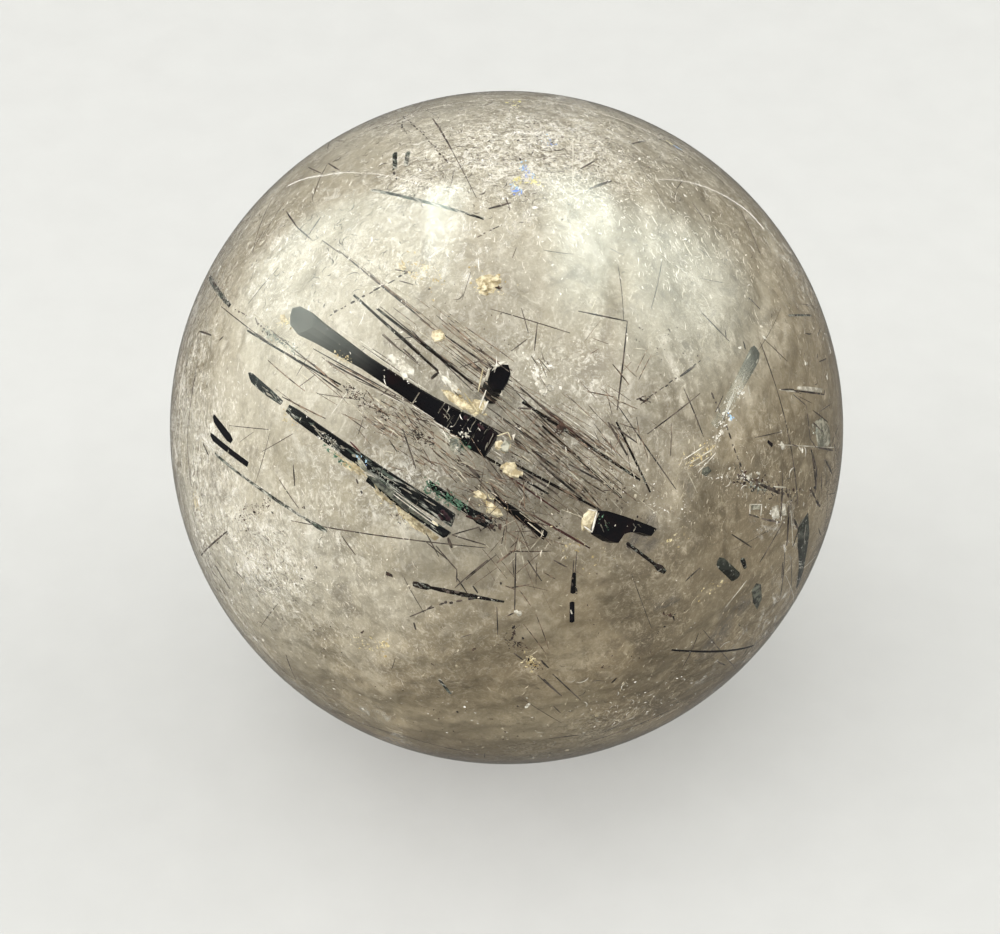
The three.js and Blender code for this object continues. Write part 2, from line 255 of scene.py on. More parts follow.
CLOUD_RADIUS = 0.7 * BALL_RADIUS
BROKEN_PLACES = (
    (560, 140, 95), (470, 150, 60), (262, 546, 48), (200, 440, 34), (192, 300, 30),
    (650, 712, 36), (420, 450, 40),
)
CLEAR_PLACES = ((800, 535, 92), (706, 536, 64), (660, 500, 26), (735, 450, 34))
DUSKY_PLACES = (
    (630, 400, 95), (565, 430, 75), (655, 365, 45), (485, 455, 45), (500, 295, 60), (614, 330, 30),
    (410, 385, 40), (520, 258, 50),
)
SMUDGES = (
    (246, 516, 14), (222, 540, 12), (206, 560, 9), (272, 489, 9), (757, 596, 12), (629, 600, 12),
    (581, 642, 11), (600, 711, 15), (514, 698, 16), (674, 494, 12), (708, 470, 9), (640, 655, 10),
    (574, 747, 9), (493, 749, 8), (430, 700, 20), (330, 690, 15), (560, 690, 14), (757, 574, 7),
    (776, 565, 8), (714, 452, 7), (703, 480, 8), (700, 546, 7), (538, 662, 10), (545, 712, 16),
    (380, 722, 16), (462, 726, 14), (635, 720, 14), (664, 692, 12), (290, 652, 12), (484, 668, 12),
    (610, 672, 12), (390, 668, 11),
)


def on_cloud(x, y):
    """The place on the cloud's mean surface that is seen at a pixel."""
    entry, bent = refracted(x, y)
    start = entry - CENTRE
    nearest = -start.dot(bent)
    inside = nearest**2 - start.length_squared + CLOUD_RADIUS**2
    return entry + bent * (nearest - math.sqrt(inside))


def share_near(tree, vector, places, edge):
    """1 inside any of the places and 0 outside them, over an edge that is a share of the radius."""
    total = None
    for x, y, radius in places:
        middle = on_cloud(x, y)
        inward = 1 if x < DISC_X else -1
        reach = (on_cloud(x + inward * radius, y) - middle).length
        away = distance_from(tree, vector, middle)
        near = remap(tree, away, reach * (1 - edge), reach * (1 + edge), 1, 0)
        total = near if total is None else maths(tree, "MAXIMUM", total, near)
    return total


# The direction towards which the cloud and its flecks are painted paler: painted light on that side and
# painted shade away from it
LIGHT_SIDE = (ACROSS * -0.5 + UPWARD * 0.75 + TO_EYE * 0.2).normalized()

# Colours of the cloud, in pairs between which it wanders. The pale pair is used on the side to the light
# and the brown pair away from it: painted light and painted shade over the milk's own tone

LIT_PALE_MILK = ((0.46, 0.42, 0.315), (0.59, 0.56, 0.455))
SHADED_BROWN_MILK = ((0.4, 0.32, 0.2), (0.53, 0.45, 0.305))
DUSKY_MILK = (0.26, 0.225, 0.165)
CLEAR_MILK = (0.17, 0.14, 0.09)
SMUDGE = (0.15, 0.14, 0.13)
DARK_CRACK = (0.16, 0.14, 0.12)

# Colours of its light and dark spots and of its glints, on the side away from the light and on
# the side to it: shaded and lit copies, as painted shade and painted light. The glints are painted
# highlights on its pale cracks and threads

LIGHT_SPOTS = ((0.66, 0.57, 0.41), (0.88, 0.86, 0.76))
DARK_SPOTS = ((0.19, 0.155, 0.11), (0.25, 0.22, 0.18))
GLINTS = ((0.7, 0.62, 0.47), (0.96, 0.95, 0.88))

# Healed cracks in the cloud, drawn out along an axis: how many in a metre, and how long each is
CRACKS = (
    (UPWARD, 2500, 3),
    (Vector((1, 0.2, 0.5)).normalized(), 2900, 2.6),
    (Vector((-0.7, 0.5, 0.6)).normalized(), 3600, 2),
)


def cloud_material():
    """Milky quartz: pale on the side to the light and browner away from it, as painted light and
    painted shade, softly mottled, greyer where it is clear, and full of fine light and dark cracks,
    with painted glints, where it is broken."""
    material, tree, shader = new_material("milky_quartz")
    place = object_place(tree)
    wavy = warped(tree, place, 230, 5 * MM)
    rough = warped(tree, place, 900, 0.7 * MM)
    bent = stretched(tree, warped(tree, place, 300, 2 * MM), UPWARD, 2)
    tone = remap(tree, noise_node(tree, place, 80, 4, 0.6, 0.4), 0.34, 0.66)
    middle = noise_node(tree, place, 330, 4, 0.6, 0.6)
    mottle = noise_node(tree, wavy, 1100, 3, 0.65, 0.3)
    dabs = noise_node(tree, bent, 2100, 2, 0.55, 0.9)
    specks = noise_node(tree, rough, 4600, 2, 0.6)
    hidden = maths(tree, "MULTIPLY", remap(tree, along(tree, place, TO_EYE), 0.15, -0.1),
                   remap(tree, noise_node(tree, place, 95, 3), 0.52, 0.66))
    broken = maths(tree, "MAXIMUM", share_near(tree, wavy, BROKEN_PLACES, 0.55), hidden)
    busy = remap(tree, noise_node(tree, wavy, 130, 3), 0.44, 0.62, 0.25, 0.8)
    busy = maths(tree, "MAXIMUM", busy, broken)
    # lit: painted light and shade, 1 on the side to the light and 0 away from it
    lit = remap(tree, along(tree, place, LIGHT_SIDE), -0.5, 0.15)
    pale = mix(tree, tone, *LIT_PALE_MILK)
    brown = mix(tree, tone, *SHADED_BROWN_MILK)
    colour = mix(tree, lit, brown, pale)
    dusky = share_near(tree, wavy, DUSKY_PLACES, 0.7)
    colour = mix(tree, maths(tree, "MULTIPLY", dusky, 0.52), colour, DUSKY_MILK)
    clear = share_near(tree, wavy, CLEAR_PLACES, 0.1)
    colour = mix(tree, maths(tree, "MULTIPLY", clear, 0.5), colour, CLEAR_MILK)
    light_spots = mix(tree, lit, *LIGHT_SPOTS)
    dark_spots = mix(tree, lit, *DARK_SPOTS)
    for texture, dark, light in ((middle, 0.45, 0.42), (mottle, 0.3, 0.38), (dabs, 0.45, 0.75),
                                 (specks, 0.25, 0.6)):
        dark_share = remap(tree, texture, 0.46, 0.3, 0, dark)
        light_share = remap(tree, texture, 0.55, 0.7, 0, light)
        if texture in (dabs, specks):
            dark_share = maths(tree, "MULTIPLY", dark_share, busy)
            light_share = maths(tree, "MULTIPLY", light_share, busy)
        colour = mix(tree, dark_share, colour, dark_spots)
        colour = mix(tree, light_share, colour, light_spots)
    smudged = maths(tree, "MULTIPLY", share_near(tree, wavy, SMUDGES, 0.6), remap(tree, mottle, 0.3, 0.6))
    colour = mix(tree, maths(tree, "MULTIPLY", smudged, 0.7), colour, SMUDGE)
    uneven = remap(tree, middle, 0.3, 0.55, 0.35, 1)
    broken = maths(tree, "MULTIPLY", maths(tree, "ADD", broken, 0.12), uneven)
    # The glint colour: painted highlights on threads and healed cracks, paler on the side to the light
    glint = mix(tree, lit, *GLINTS)
    threads = winding_lines(tree, rough, 1300, 0.03)
    threads = maths(tree, "MULTIPLY", threads, remap(tree, mottle, 0.47, 0.56))
    colour = mix(tree, maths(tree, "MULTIPLY", threads, maths(tree, "MULTIPLY", busy, 0.8)), colour, glint)
    for axis, scale, length in CRACKS:
        cracks = noise_node(tree, stretched(tree, rough, axis, length), scale, 2, 0.5, 1.1)
        light = maths(tree, "MULTIPLY", remap(tree, cracks, 0.57, 0.66), broken)
        colour = mix(tree, light, colour, glint)
        dark = maths(tree, "MULTIPLY", remap(tree, cracks, 0.42, 0.33, 0, 0.62), broken)
        colour = mix(tree, dark, colour, DARK_CRACK)
    link(tree, colour, shader.inputs["Base Color"])
    shader.inputs["Roughness"].default_value = 0.6
    add_bump(tree, shader, middle, 0.15, 0.3 * MM)
    return material


def veil_material():
    material, tree, shader = new_material("milky_veil")
    place = object_place(tree)
    wisps = noise_node(tree, place, 420, 9, 0.72, 1.6)
    broad = noise_node(tree, place, 90, 3)
    shader.inputs["Base Color"].default_value = (0.86, 0.84, 0.76, 1)
    shader.inputs["Roughness"].default_value = 0.5
    cover = maths(tree, "MULTIPLY", remap(tree, wisps, 0.5, 0.68), remap(tree, broad, 0.38, 0.6))
    link(tree, maths(tree, "MULTIPLY", cover, 0.6), shader.inputs["Alpha"])
    return material


def grain_material(name, dark, pale, roughness, scale=900):
    """A material for small pieces, with its colour uneven from piece to piece."""
    material, tree, shader = new_material(name)
    patches = noise_node(tree, object_place(tree), scale, 3)
    link(tree, mix(tree, remap(tree, patches, 0.38, 0.62), dark, pale), shader.inputs["Base Color"])
    shader.inputs["Roughness"].default_value = roughness
    return material


def fleck_material():
    """White flecks, browner away from the light as painted shade, as the cloud behind them is."""
    material, tree, shader = new_material("white_fleck")
    place = object_place(tree)
    patches = remap(tree, noise_node(tree, place, 1200, 3), 0.36, 0.64)
    # Painted light and shade: the flecks are brighter towards the light side and duller away from it
    lit = remap(tree, along(tree, place, LIGHT_SIDE), -0.5, 0.5)
    shaded_fleck = mix(tree, patches, (0.38, 0.32, 0.2), (0.68, 0.6, 0.45))
    bright = mix(tree, patches, (0.68, 0.64, 0.52), (0.98, 0.96, 0.9))
    link(tree, mix(tree, lit, shaded_fleck, bright), shader.inputs["Base Color"])
    shader.inputs["Roughness"].default_value = 0.35
    return material


# Tourmaline bends light nearly as the quartz around it does, so that next to nothing is mirrored
TOURMALINE_IN_QUARTZ_IOR = 1.06


def add_tourmaline_gloss(tree, shader, place, axis):
    """The faint gloss of tourmaline in quartz, with fine lines along the crystal's axis."""
    lines = noise_node(tree, stretched(tree, place, axis, 12), 5200, 4, 0.6)
    shader.inputs["IOR"].default_value = TOURMALINE_IN_QUARTZ_IOR
    link(tree, remap(tree, lines, 0.3, 0.7, 0.18, 0.4), shader.inputs["Roughness"])
    add_bump(tree, shader, lines, 0.25, 0.04 * MM)


def tourmaline_material(name, axis, dark, tint, sheen_and_wear, fineness=1900):
    """Tourmaline with fine lines along its axis, a tint in places, and pale streaks: partly wear that
    shows the pale quartz through, partly painted sheen, so many in a metre across as fineness says."""
    material, tree, shader = new_material(name)
    place = object_place(tree)
    patches = noise_node(tree, place, 420, 4, 0.6)
    streaks = noise_node(tree, stretched(tree, place, axis, 7), fineness, 4, 0.65, 0.4)
    # shine: the streaks' painted sheen, from dim to bright
    shine = noise_node(tree, stretched(tree, place, axis, 3), fineness * 0.6, 3)
    sheen_and_wear_colour = mix(tree, remap(tree, shine, 0.4, 0.62), (0.12, 0.15, 0.12), (0.66, 0.65, 0.56))
    colour = mix(tree, remap(tree, patches, 0.5, 0.72), dark, tint)
    sheen_and_wear_share = remap(tree, streaks, 0.7 - 0.14 * sheen_and_wear, 0.78 - 0.12 * sheen_and_wear)
    colour = mix(tree, maths(tree, "MULTIPLY", sheen_and_wear_share, 0.85), colour, sheen_and_wear_colour)
    link(tree, colour, shader.inputs["Base Color"])
    add_tourmaline_gloss(tree, shader, place, axis)
    return material


def great_rod_material(axis, head):
    """The great rod: its head is greyed as a painted reflection of the window haze over it, and it
    blackens down its length.
    """
    material, tree, shader = new_material("great_rod")
    place = object_place(tree)
    patches = noise_node(tree, place, 420, 4, 0.6)
    # Painted reflection: the head is painted grey where the window's haze lies over it, fading down the
    # rod
    mirrored_haze_share = remap(tree, distance_from(tree, place, head), 1.5 * MM, 11 * MM, 1, 0)
    grey = mix(tree, remap(tree, patches, 0.35, 0.65), (0.11, 0.115, 0.1), (0.15, 0.155, 0.135))
    black = mix(tree, remap(tree, patches, 0.5, 0.72), (0.004, 0.004, 0.006), (0.012, 0.005, 0.006))
    link(tree, mix(tree, mirrored_haze_share, black, grey), shader.inputs["Base Color"])
    add_tourmaline_gloss(tree, shader, place, axis)
    return material


def smoky_rod_material(axis, head):
    """The smoky rod: dark at its head, and paler and clearer down its length."""
    material, tree, shader = new_material("smoky_rod")
    place = object_place(tree)
    lines = noise_node(tree, stretched(tree, place, axis, 5), 2400, 4, 0.65, 0.3)
    faded = remap(tree, distance_from(tree, place, head), 0.8 * MM, 4.6 * MM)
    colour = mix(tree, faded, (0.04, 0.044, 0.038), (0.3, 0.31, 0.25))
    colour = mix(tree, remap(tree, lines, 0.56, 0.7, 0, 0.8), colour, (0.66, 0.64, 0.53))
    link(tree, colour, shader.inputs["Base Color"])
    clearness = maths(tree, "MULTIPLY", faded, remap(tree, lines, 0.3, 0.6, 0.98, 0.75))
    link(tree, maths(tree, "SUBTRACT", 1, clearness), shader.inputs["Alpha"])
    shader.inputs["IOR"].default_value = TOURMALINE_IN_QUARTZ_IOR
    shader.inputs["Roughness"].default_value = 0.4
    return material


def floor_material():
    material, tree, shader = new_material("pale_floor")
    grain = noise_node(tree, object_place(tree), 160, 3)
    link(tree, mix(tree, grain, (0.265, 0.265, 0.257), (0.29, 0.29, 0.282)), shader.inputs["Base Color"])
    shader.inputs["Roughness"].default_value = 0.6
    return material


# Meshes

def ring_faces(sides, rings):
    """The faces of a closed body whose points lie in rings, one over the other."""
    faces = [tuple(range(sides))[::-1], tuple(range((rings - 1) * sides, rings * sides))]
    for ring in range(rings - 1):
        for k in range(sides):
            a = ring * sides + k
            b = ring * sides + (k + 1) % sides
            faces.append((a, b, b + sides, a + sides))
    return faces


class MeshParts:
    """Gathers many small closed shapes into one mesh."""

    def __init__(self):
        self.points = []
        self.faces = []

    def add(self, points, faces):
        start = len(self.points)
        self.points.extend(points)
        self.faces.extend([tuple(start + i for i in face) for face in faces])

    def prism(self, path, widths, sides=5, turn=0.0):
        """A closed prism along a path of points, as wide at each as widths says."""
        heading = (path[-1] - path[0]).normalized()
        side = heading.orthogonal().normalized()
        other = heading.cross(side)
        points = []
        for middle, width in zip(path, widths):
            for k in range(sides):
                angle = turn + k * math.tau / sides
                points.append(middle + (side * math.cos(angle) + other * math.sin(angle)) * width / 2)
        self.add(points, ring_faces(sides, len(path)))

    def chip(self, middle, facing, heading, length, width, thickness, rng):
        """A flat, pointed chip: a low double pyramid on an uneven outline, longer along heading."""
        side = (heading - facing * heading.dot(facing)).normalized()
        other = facing.cross(side)
        sides = rng.choice((3, 4, 5))
        start = rng.uniform(0, math.tau)
        points = []
        for k in range(sides):
            angle = start + (k + rng.uniform(-0.3, 0.3)) * math.tau / sides
            reach = rng.uniform(0.6, 1)
            points.append(middle + side * (math.cos(angle) * reach * length / 2)
                          + other * (math.sin(angle) * reach * width / 2))
        points += [middle + facing * thickness, middle - facing * thickness]
        faces = []
        for k in range(sides):
            after = (k + 1) % sides
            faces += [(k, after, sides), (after, k, sides + 1)]
        self.add(points, faces)

    def block(self, middle, facing, heading, length, width, thickness, rng):
        """A flat crystal with an uneven outline and slanting edges, longer along heading."""
        side = (heading - facing * heading.dot(facing)).normalized()
        other = facing.cross(side)
        sides = rng.choice((4, 5, 6))
        start = rng.uniform(0, math.tau)
        corners = []
        for k in range(sides):
            angle = start + (k + rng.uniform(-0.25, 0.25)) * math.tau / sides
            reach = rng.uniform(0.7, 1)
            corners.append(side * (math.cos(angle) * reach * length / 2)
                           + other * (math.sin(angle) * reach * width / 2))
        inset = rng.uniform(0.5, 0.85)
        points = []
        for level, scale in ((-0.5, inset), (0, 1), (0.5, inset)):
            points += [middle + corner * scale + facing * (level * thickness) for corner in corners]
        self.add(points, ring_faces(sides, 3))

    def piece(self, name, material, slot, smooth=False):
        return mesh_piece(name, self.points, self.faces, material, smooth)


def mesh_piece(name, points, faces, material, smooth=False):
    mesh = bpy.data.meshes.new(name)
    mesh.from_pydata(points, [], faces)
    mesh.materials.append(material)
    if smooth:
        mesh.shade_smooth()
    piece = bpy.data.objects.new(name, mesh)
    bpy.context.scene.collection.objects.link(piece)
    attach(piece, "root")
    return piece


def random_direction(rng):
    height = rng.uniform(-1, 1)
    turn = rng.uniform(0, math.tau)
    level = math.sqrt(1 - height * height)
    return Vector((level * math.cos(turn), level * math.sin(turn), height))


# The clear ball, with the flat that it rests on

BALL_STEPS_ROUND = 224
BALL_STEPS_UP = 112


def make_ball():
    low = -math.asin(CENTRE.z / BALL_RADIUS)
    points = []
    for ring in range(BALL_STEPS_UP):
        height = low + (math.pi / 2 - low) * ring / BALL_STEPS_UP
        for k in range(BALL_STEPS_ROUND):
            turn = k * math.tau / BALL_STEPS_ROUND
            points.append(CENTRE + BALL_RADIUS * Vector((
                math.cos(height) * math.cos(turn), math.cos(height) * math.sin(turn), math.sin(height))))
    top = len(points)
    points.append(CENTRE + Vector((0, 0, BALL_RADIUS)))
    faces = [tuple(range(BALL_STEPS_ROUND))[::-1]]
    for ring in range(BALL_STEPS_UP):
        for k in range(BALL_STEPS_ROUND):
            a = ring * BALL_STEPS_ROUND + k
            b = ring * BALL_STEPS_ROUND + (k + 1) % BALL_STEPS_ROUND
            if ring == BALL_STEPS_UP - 1:
                faces.append((a, b, top))
            else:
                faces.append((a, b, b + BALL_STEPS_ROUND, a + BALL_STEPS_ROUND))
    ball = mesh_piece("quartz_ball", points, faces, quartz_material(), smooth=True)
    for edge in ball.data.edges:
        edge.use_edge_sharp = max(edge.vertices) < BALL_STEPS_ROUND
    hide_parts("quartz_front", "quartz_back")
    ball.visible_shadow = False
    ball.visible_diffuse = False


# The milky cloud that fills the middle of the ball. Its surface is moved by broad lumps, folds and
# fine crumples, each as fine and by as large a share of the radius as is given here

LUMP_FINENESS = 2.2
LUMP_REACH = 0.045
FOLD_FINENESS = 5
FOLD_REACH = 0.009
CRUMPLE_FINENESS = 17
CRUMPLE_REACH = 0.009


def make_cloud():
    detail = 7
    bpy.ops.mesh.primitive_ico_sphere_add(subdivisions=detail, radius=1)
    cloud = bpy.context.object
    cloud.name = "milky_cloud"
    cloud.data.name = "milky_cloud"
    for vertex in cloud.data.vertices:
        outward = vertex.co.normalized()
        lump = noise.fractal(outward * LUMP_FINENESS, 0.9, 2.1, 4)
        fold = noise.ridged_multi_fractal(outward * FOLD_FINENESS, 0.9, 2.2, 4, 1.0, 2.0) - 1.2
        crumple = noise.fractal(outward * CRUMPLE_FINENESS, 0.7, 2.2, 3)
        reach = 1 + LUMP_REACH * lump + FOLD_REACH * fold + CRUMPLE_REACH * crumple
        vertex.co = outward * (CLOUD_RADIUS * reach) + CENTRE
    cloud.data.materials.append(cloud_material())
    cloud.data.shade_smooth()
    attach(cloud, "root")


# Veils: thin, curved, wispy sheets between the cloud and the polish. The front ones are placed by
# their middle pixel, depth in millimetres, width and height in millimetres and turn in degrees

VEIL_STEPS = 26
VEIL_LIMIT = 0.975 * BALL_RADIUS
HIDDEN_VEILS = 18
FRONT_VEILS = [
    (520, 160, 3.0, 26, 10, 0),
    (300, 235, 3.0, 16, 12, 40),
    (215, 500, 2.5, 9, 22, -15),
    (790, 560, 2.5, 6, 16, -20),
]


def add_veil(points, faces, middle, tilt, width, height, turn, bow):
    side = tilt.orthogonal().normalized()
    side.rotate(Matrix.Rotation(turn, 3, tilt))
    other = tilt.cross(side)
    start = len(points)
    for i in range(VEIL_STEPS):
        for j in range(VEIL_STEPS):
            u = i / (VEIL_STEPS - 1) - 0.5
            v = j / (VEIL_STEPS - 1) - 0.5
            place = middle + side * (u * width) + other * (v * height)
            place -= tilt * (bow * (u * u + v * v) * width)
            place += noise.noise_vector(place / (6 * MM)) * 1.2 * MM
            if place.length > VEIL_LIMIT:
                place = place.normalized() * VEIL_LIMIT
            points.append(CENTRE + place)
    for i in range(VEIL_STEPS - 1):
        for j in range(VEIL_STEPS - 1):
            a = start + i * VEIL_STEPS + j
            faces.append((a, a + 1, a + VEIL_STEPS + 1, a + VEIL_STEPS))


def make_veils():
    # Without this seed the noise vectors that wave the veils would differ from run to run
    noise.seed_set(11)
    rng = random.Random(11)
    points = []
    faces = []
    for x, y, depth, width, height, turn in FRONT_VEILS:
        middle = seen(x, y, depth) - CENTRE
        tilt = (middle.normalized() + TO_EYE * 0.6).normalized()
        add_veil(points, faces, middle, tilt, width * MM, height * MM, math.radians(turn), 0.35)
    placed = 0
    while placed < HIDDEN_VEILS:
        outward = random_direction(rng)
        if outward.dot(TO_EYE) > 0.1:
            continue
        placed += 1
        tilt = (outward + random_direction(rng) * 0.8).normalized()
        add_veil(points, faces, outward * BALL_RADIUS * rng.uniform(0.74, 0.86), tilt,
                 rng.uniform(14, 28) * MM, rng.uniform(9, 20) * MM, rng.uniform(0, math.tau),
                 rng.uniform(0.2, 0.6))
    mesh_piece("milky_veils", points, faces, veil_material(), smooth=True)


# Flecks: chips and curved strokes of healed cracks that catch the light. They gather in places,
# given by their middle pixel, spread in pixels and share of all front flecks

FLECK_PATCHES = [
    (520, 150, 70, 0.26),
    (610, 150, 50, 0.08),
    (300, 250, 55, 0.06),
    (200, 400, 30, 0.04),
    (245, 565, 55, 0.2),
    (330, 640, 60, 0.06),
    (690, 470, 40, 0.02),
    (790, 480, 36, 0.04),
    (760, 240, 45, 0.02),
    (640, 715, 40, 0.03),
    (690, 250, 40, 0.04),
]
FRONT_CHIPS = 8000
HIDDEN_CHIPS = 7000
FRONT_STROKES = 5200
HIDDEN_STROKES = 4200
DISC_LIMIT = 0.975 * DISC_RADIUS
HIDDEN_REACH = (0.75 * BALL_RADIUS, 0.97 * BALL_RADIUS)
CHIP_LENGTH = 0.2 * MM
HALF_STROKE = 0.17 * MM
STROKE_WIDTH = 0.065 * MM


def within_disc(x, y):
    """The pixel, drawn in to the edge of the disc where it lies beyond it."""
    far = max(1, math.hypot(x - DISC_X, y - DISC_Y) / DISC_LIMIT)
    return DISC_X + (x - DISC_X) / far, DISC_Y + (y - DISC_Y) / far


def front_place(rng):
    """A place in the clear shell on the eye's side, more often in one of the patches."""
    pick = rng.random()
    for x, y, spread, share in FLECK_PATCHES:
        pick -= share
        if pick < 0:
            x = rng.gauss(x, spread)
            y = rng.gauss(y, spread * 0.7)
            break
    else:
        turn = rng.uniform(0, math.tau)
        reach = DISC_RADIUS * math.sqrt(rng.random())
        x = DISC_X + reach * math.cos(turn)
        y = DISC_Y + reach * math.sin(turn)
    return seen(*within_disc(x, y), rng.uniform(0.5, 6))


def hidden_place(rng):
    while True:
        outward = random_direction(rng)
        clump = noise.noise(outward * 3.1 + Vector((5, 0, 0)))
        if outward.dot(TO_EYE) < 0.45 and rng.random() < 0.4 + clump:
            return CENTRE + outward * rng.uniform(*HIDDEN_REACH)


def make_flecks():
    rng = random.Random(23)
    fewer = 1
    chips = MeshParts()
    strokes = MeshParts()
    for place_of, count in ((front_place, FRONT_CHIPS), (hidden_place, HIDDEN_CHIPS)):
        for _ in range(count // fewer):
            place = place_of(rng)
            outward = (place - CENTRE).normalized()
            facing = (outward + random_direction(rng) * 0.9).normalized()
            length = CHIP_LENGTH * math.exp(rng.gauss(0, 0.5))
            chips.chip(place, facing, random_direction(rng), length, length * rng.uniform(0.3, 0.7),
                       length * 0.1, rng)
    for place_of, count in ((front_place, FRONT_STROKES), (hidden_place, HIDDEN_STROKES)):
        for _ in range(count // fewer):
            place = place_of(rng)
            outward = (place - CENTRE).normalized()
            drawn = UPWARD * 1.8 + random_direction(rng)
            heading = (drawn - outward * drawn.dot(outward)).normalized()
            half = heading * (HALF_STROKE * math.exp(rng.gauss(0, 0.55)))
            bend = outward.cross(heading) * half.length * rng.uniform(-0.3, 0.3)
            width = STROKE_WIDTH * math.exp(rng.gauss(0, 0.35))
            strokes.prism([place - half, place + bend, place + half], [width * 0.4, width, width * 0.4],
                          sides=3)
    white = fleck_material()
    chips.piece("white_chips", white, "milky_veil")
    strokes.piece("white_strokes", white, "milky_veil")


# Curled cracks, long enough to be told apart: middle pixel, spread in pixels and count

CURL_PATCHES = [
    (500, 135, 60, 220), (600, 150, 46, 120), (410, 160, 40, 70), (700, 230, 36, 36),
    (330, 250, 46, 110), (240, 560, 36, 50), (780, 480, 26, 20), (620, 720, 40, 24),
]
HIDDEN_CURLS = 360
CURL_STEPS = 6
CURL_RADIUS = 0.42 * MM
CURL_WIDTH = 0.08 * MM

# The share of the curls that each piece holds, and the pair of colours that it wanders between

CURL_LOOKS = {
    "pale_curls": (1, (0.6, 0.57, 0.47), (0.95, 0.93, 0.86)),
    "dusky_curls": (0.9, (0.06, 0.05, 0.04), (0.22, 0.2, 0.16)),
}


def add_curl(parts, place, rng):
    """A thin crack bent to an arc, level with the polish over it."""
    outward = (place - CENTRE).normalized()
    heading = outward.cross(random_direction(rng)).normalized()
    beside = outward.cross(heading)
    radius = CURL_RADIUS * math.exp(rng.gauss(0, 0.4))
    sweep = rng.uniform(0.8, 2.6)
    width = CURL_WIDTH * math.exp(rng.gauss(0, 0.3))
    path = []
    widths = []
    for k in range(CURL_STEPS):
        share = k / (CURL_STEPS - 1)
        turn = sweep * (share - 0.5)
        forward = heading * radius * math.sin(turn)
        path.append(place + forward + beside * radius * (math.cos(turn) - 1))
        widths.append(width * (0.3 + 0.7 * math.sin(math.pi * share)))
    parts.prism(path, widths, sides=3)


def make_curls():
    rng = random.Random(83)
    for name, (share, dark, pale) in CURL_LOOKS.items():
        parts = MeshParts()
        for x, y, spread, count in CURL_PATCHES:
            for _ in range(round(count * share)):
                pixel = within_disc(rng.gauss(x, spread), rng.gauss(y, spread * 0.7))
                add_curl(parts, seen(*pixel, rng.uniform(0.8, 4)), rng)
        for _ in range(round(HIDDEN_CURLS * share)):
            add_curl(parts, hidden_place(rng), rng)
        parts.piece(name, grain_material(name, dark, pale, 0.3), "milky_veil")


# Needles. Each front line is [x, y, x, y] in pixels at its ends, its width in pixels, and the depth
# of its ends in millimetres

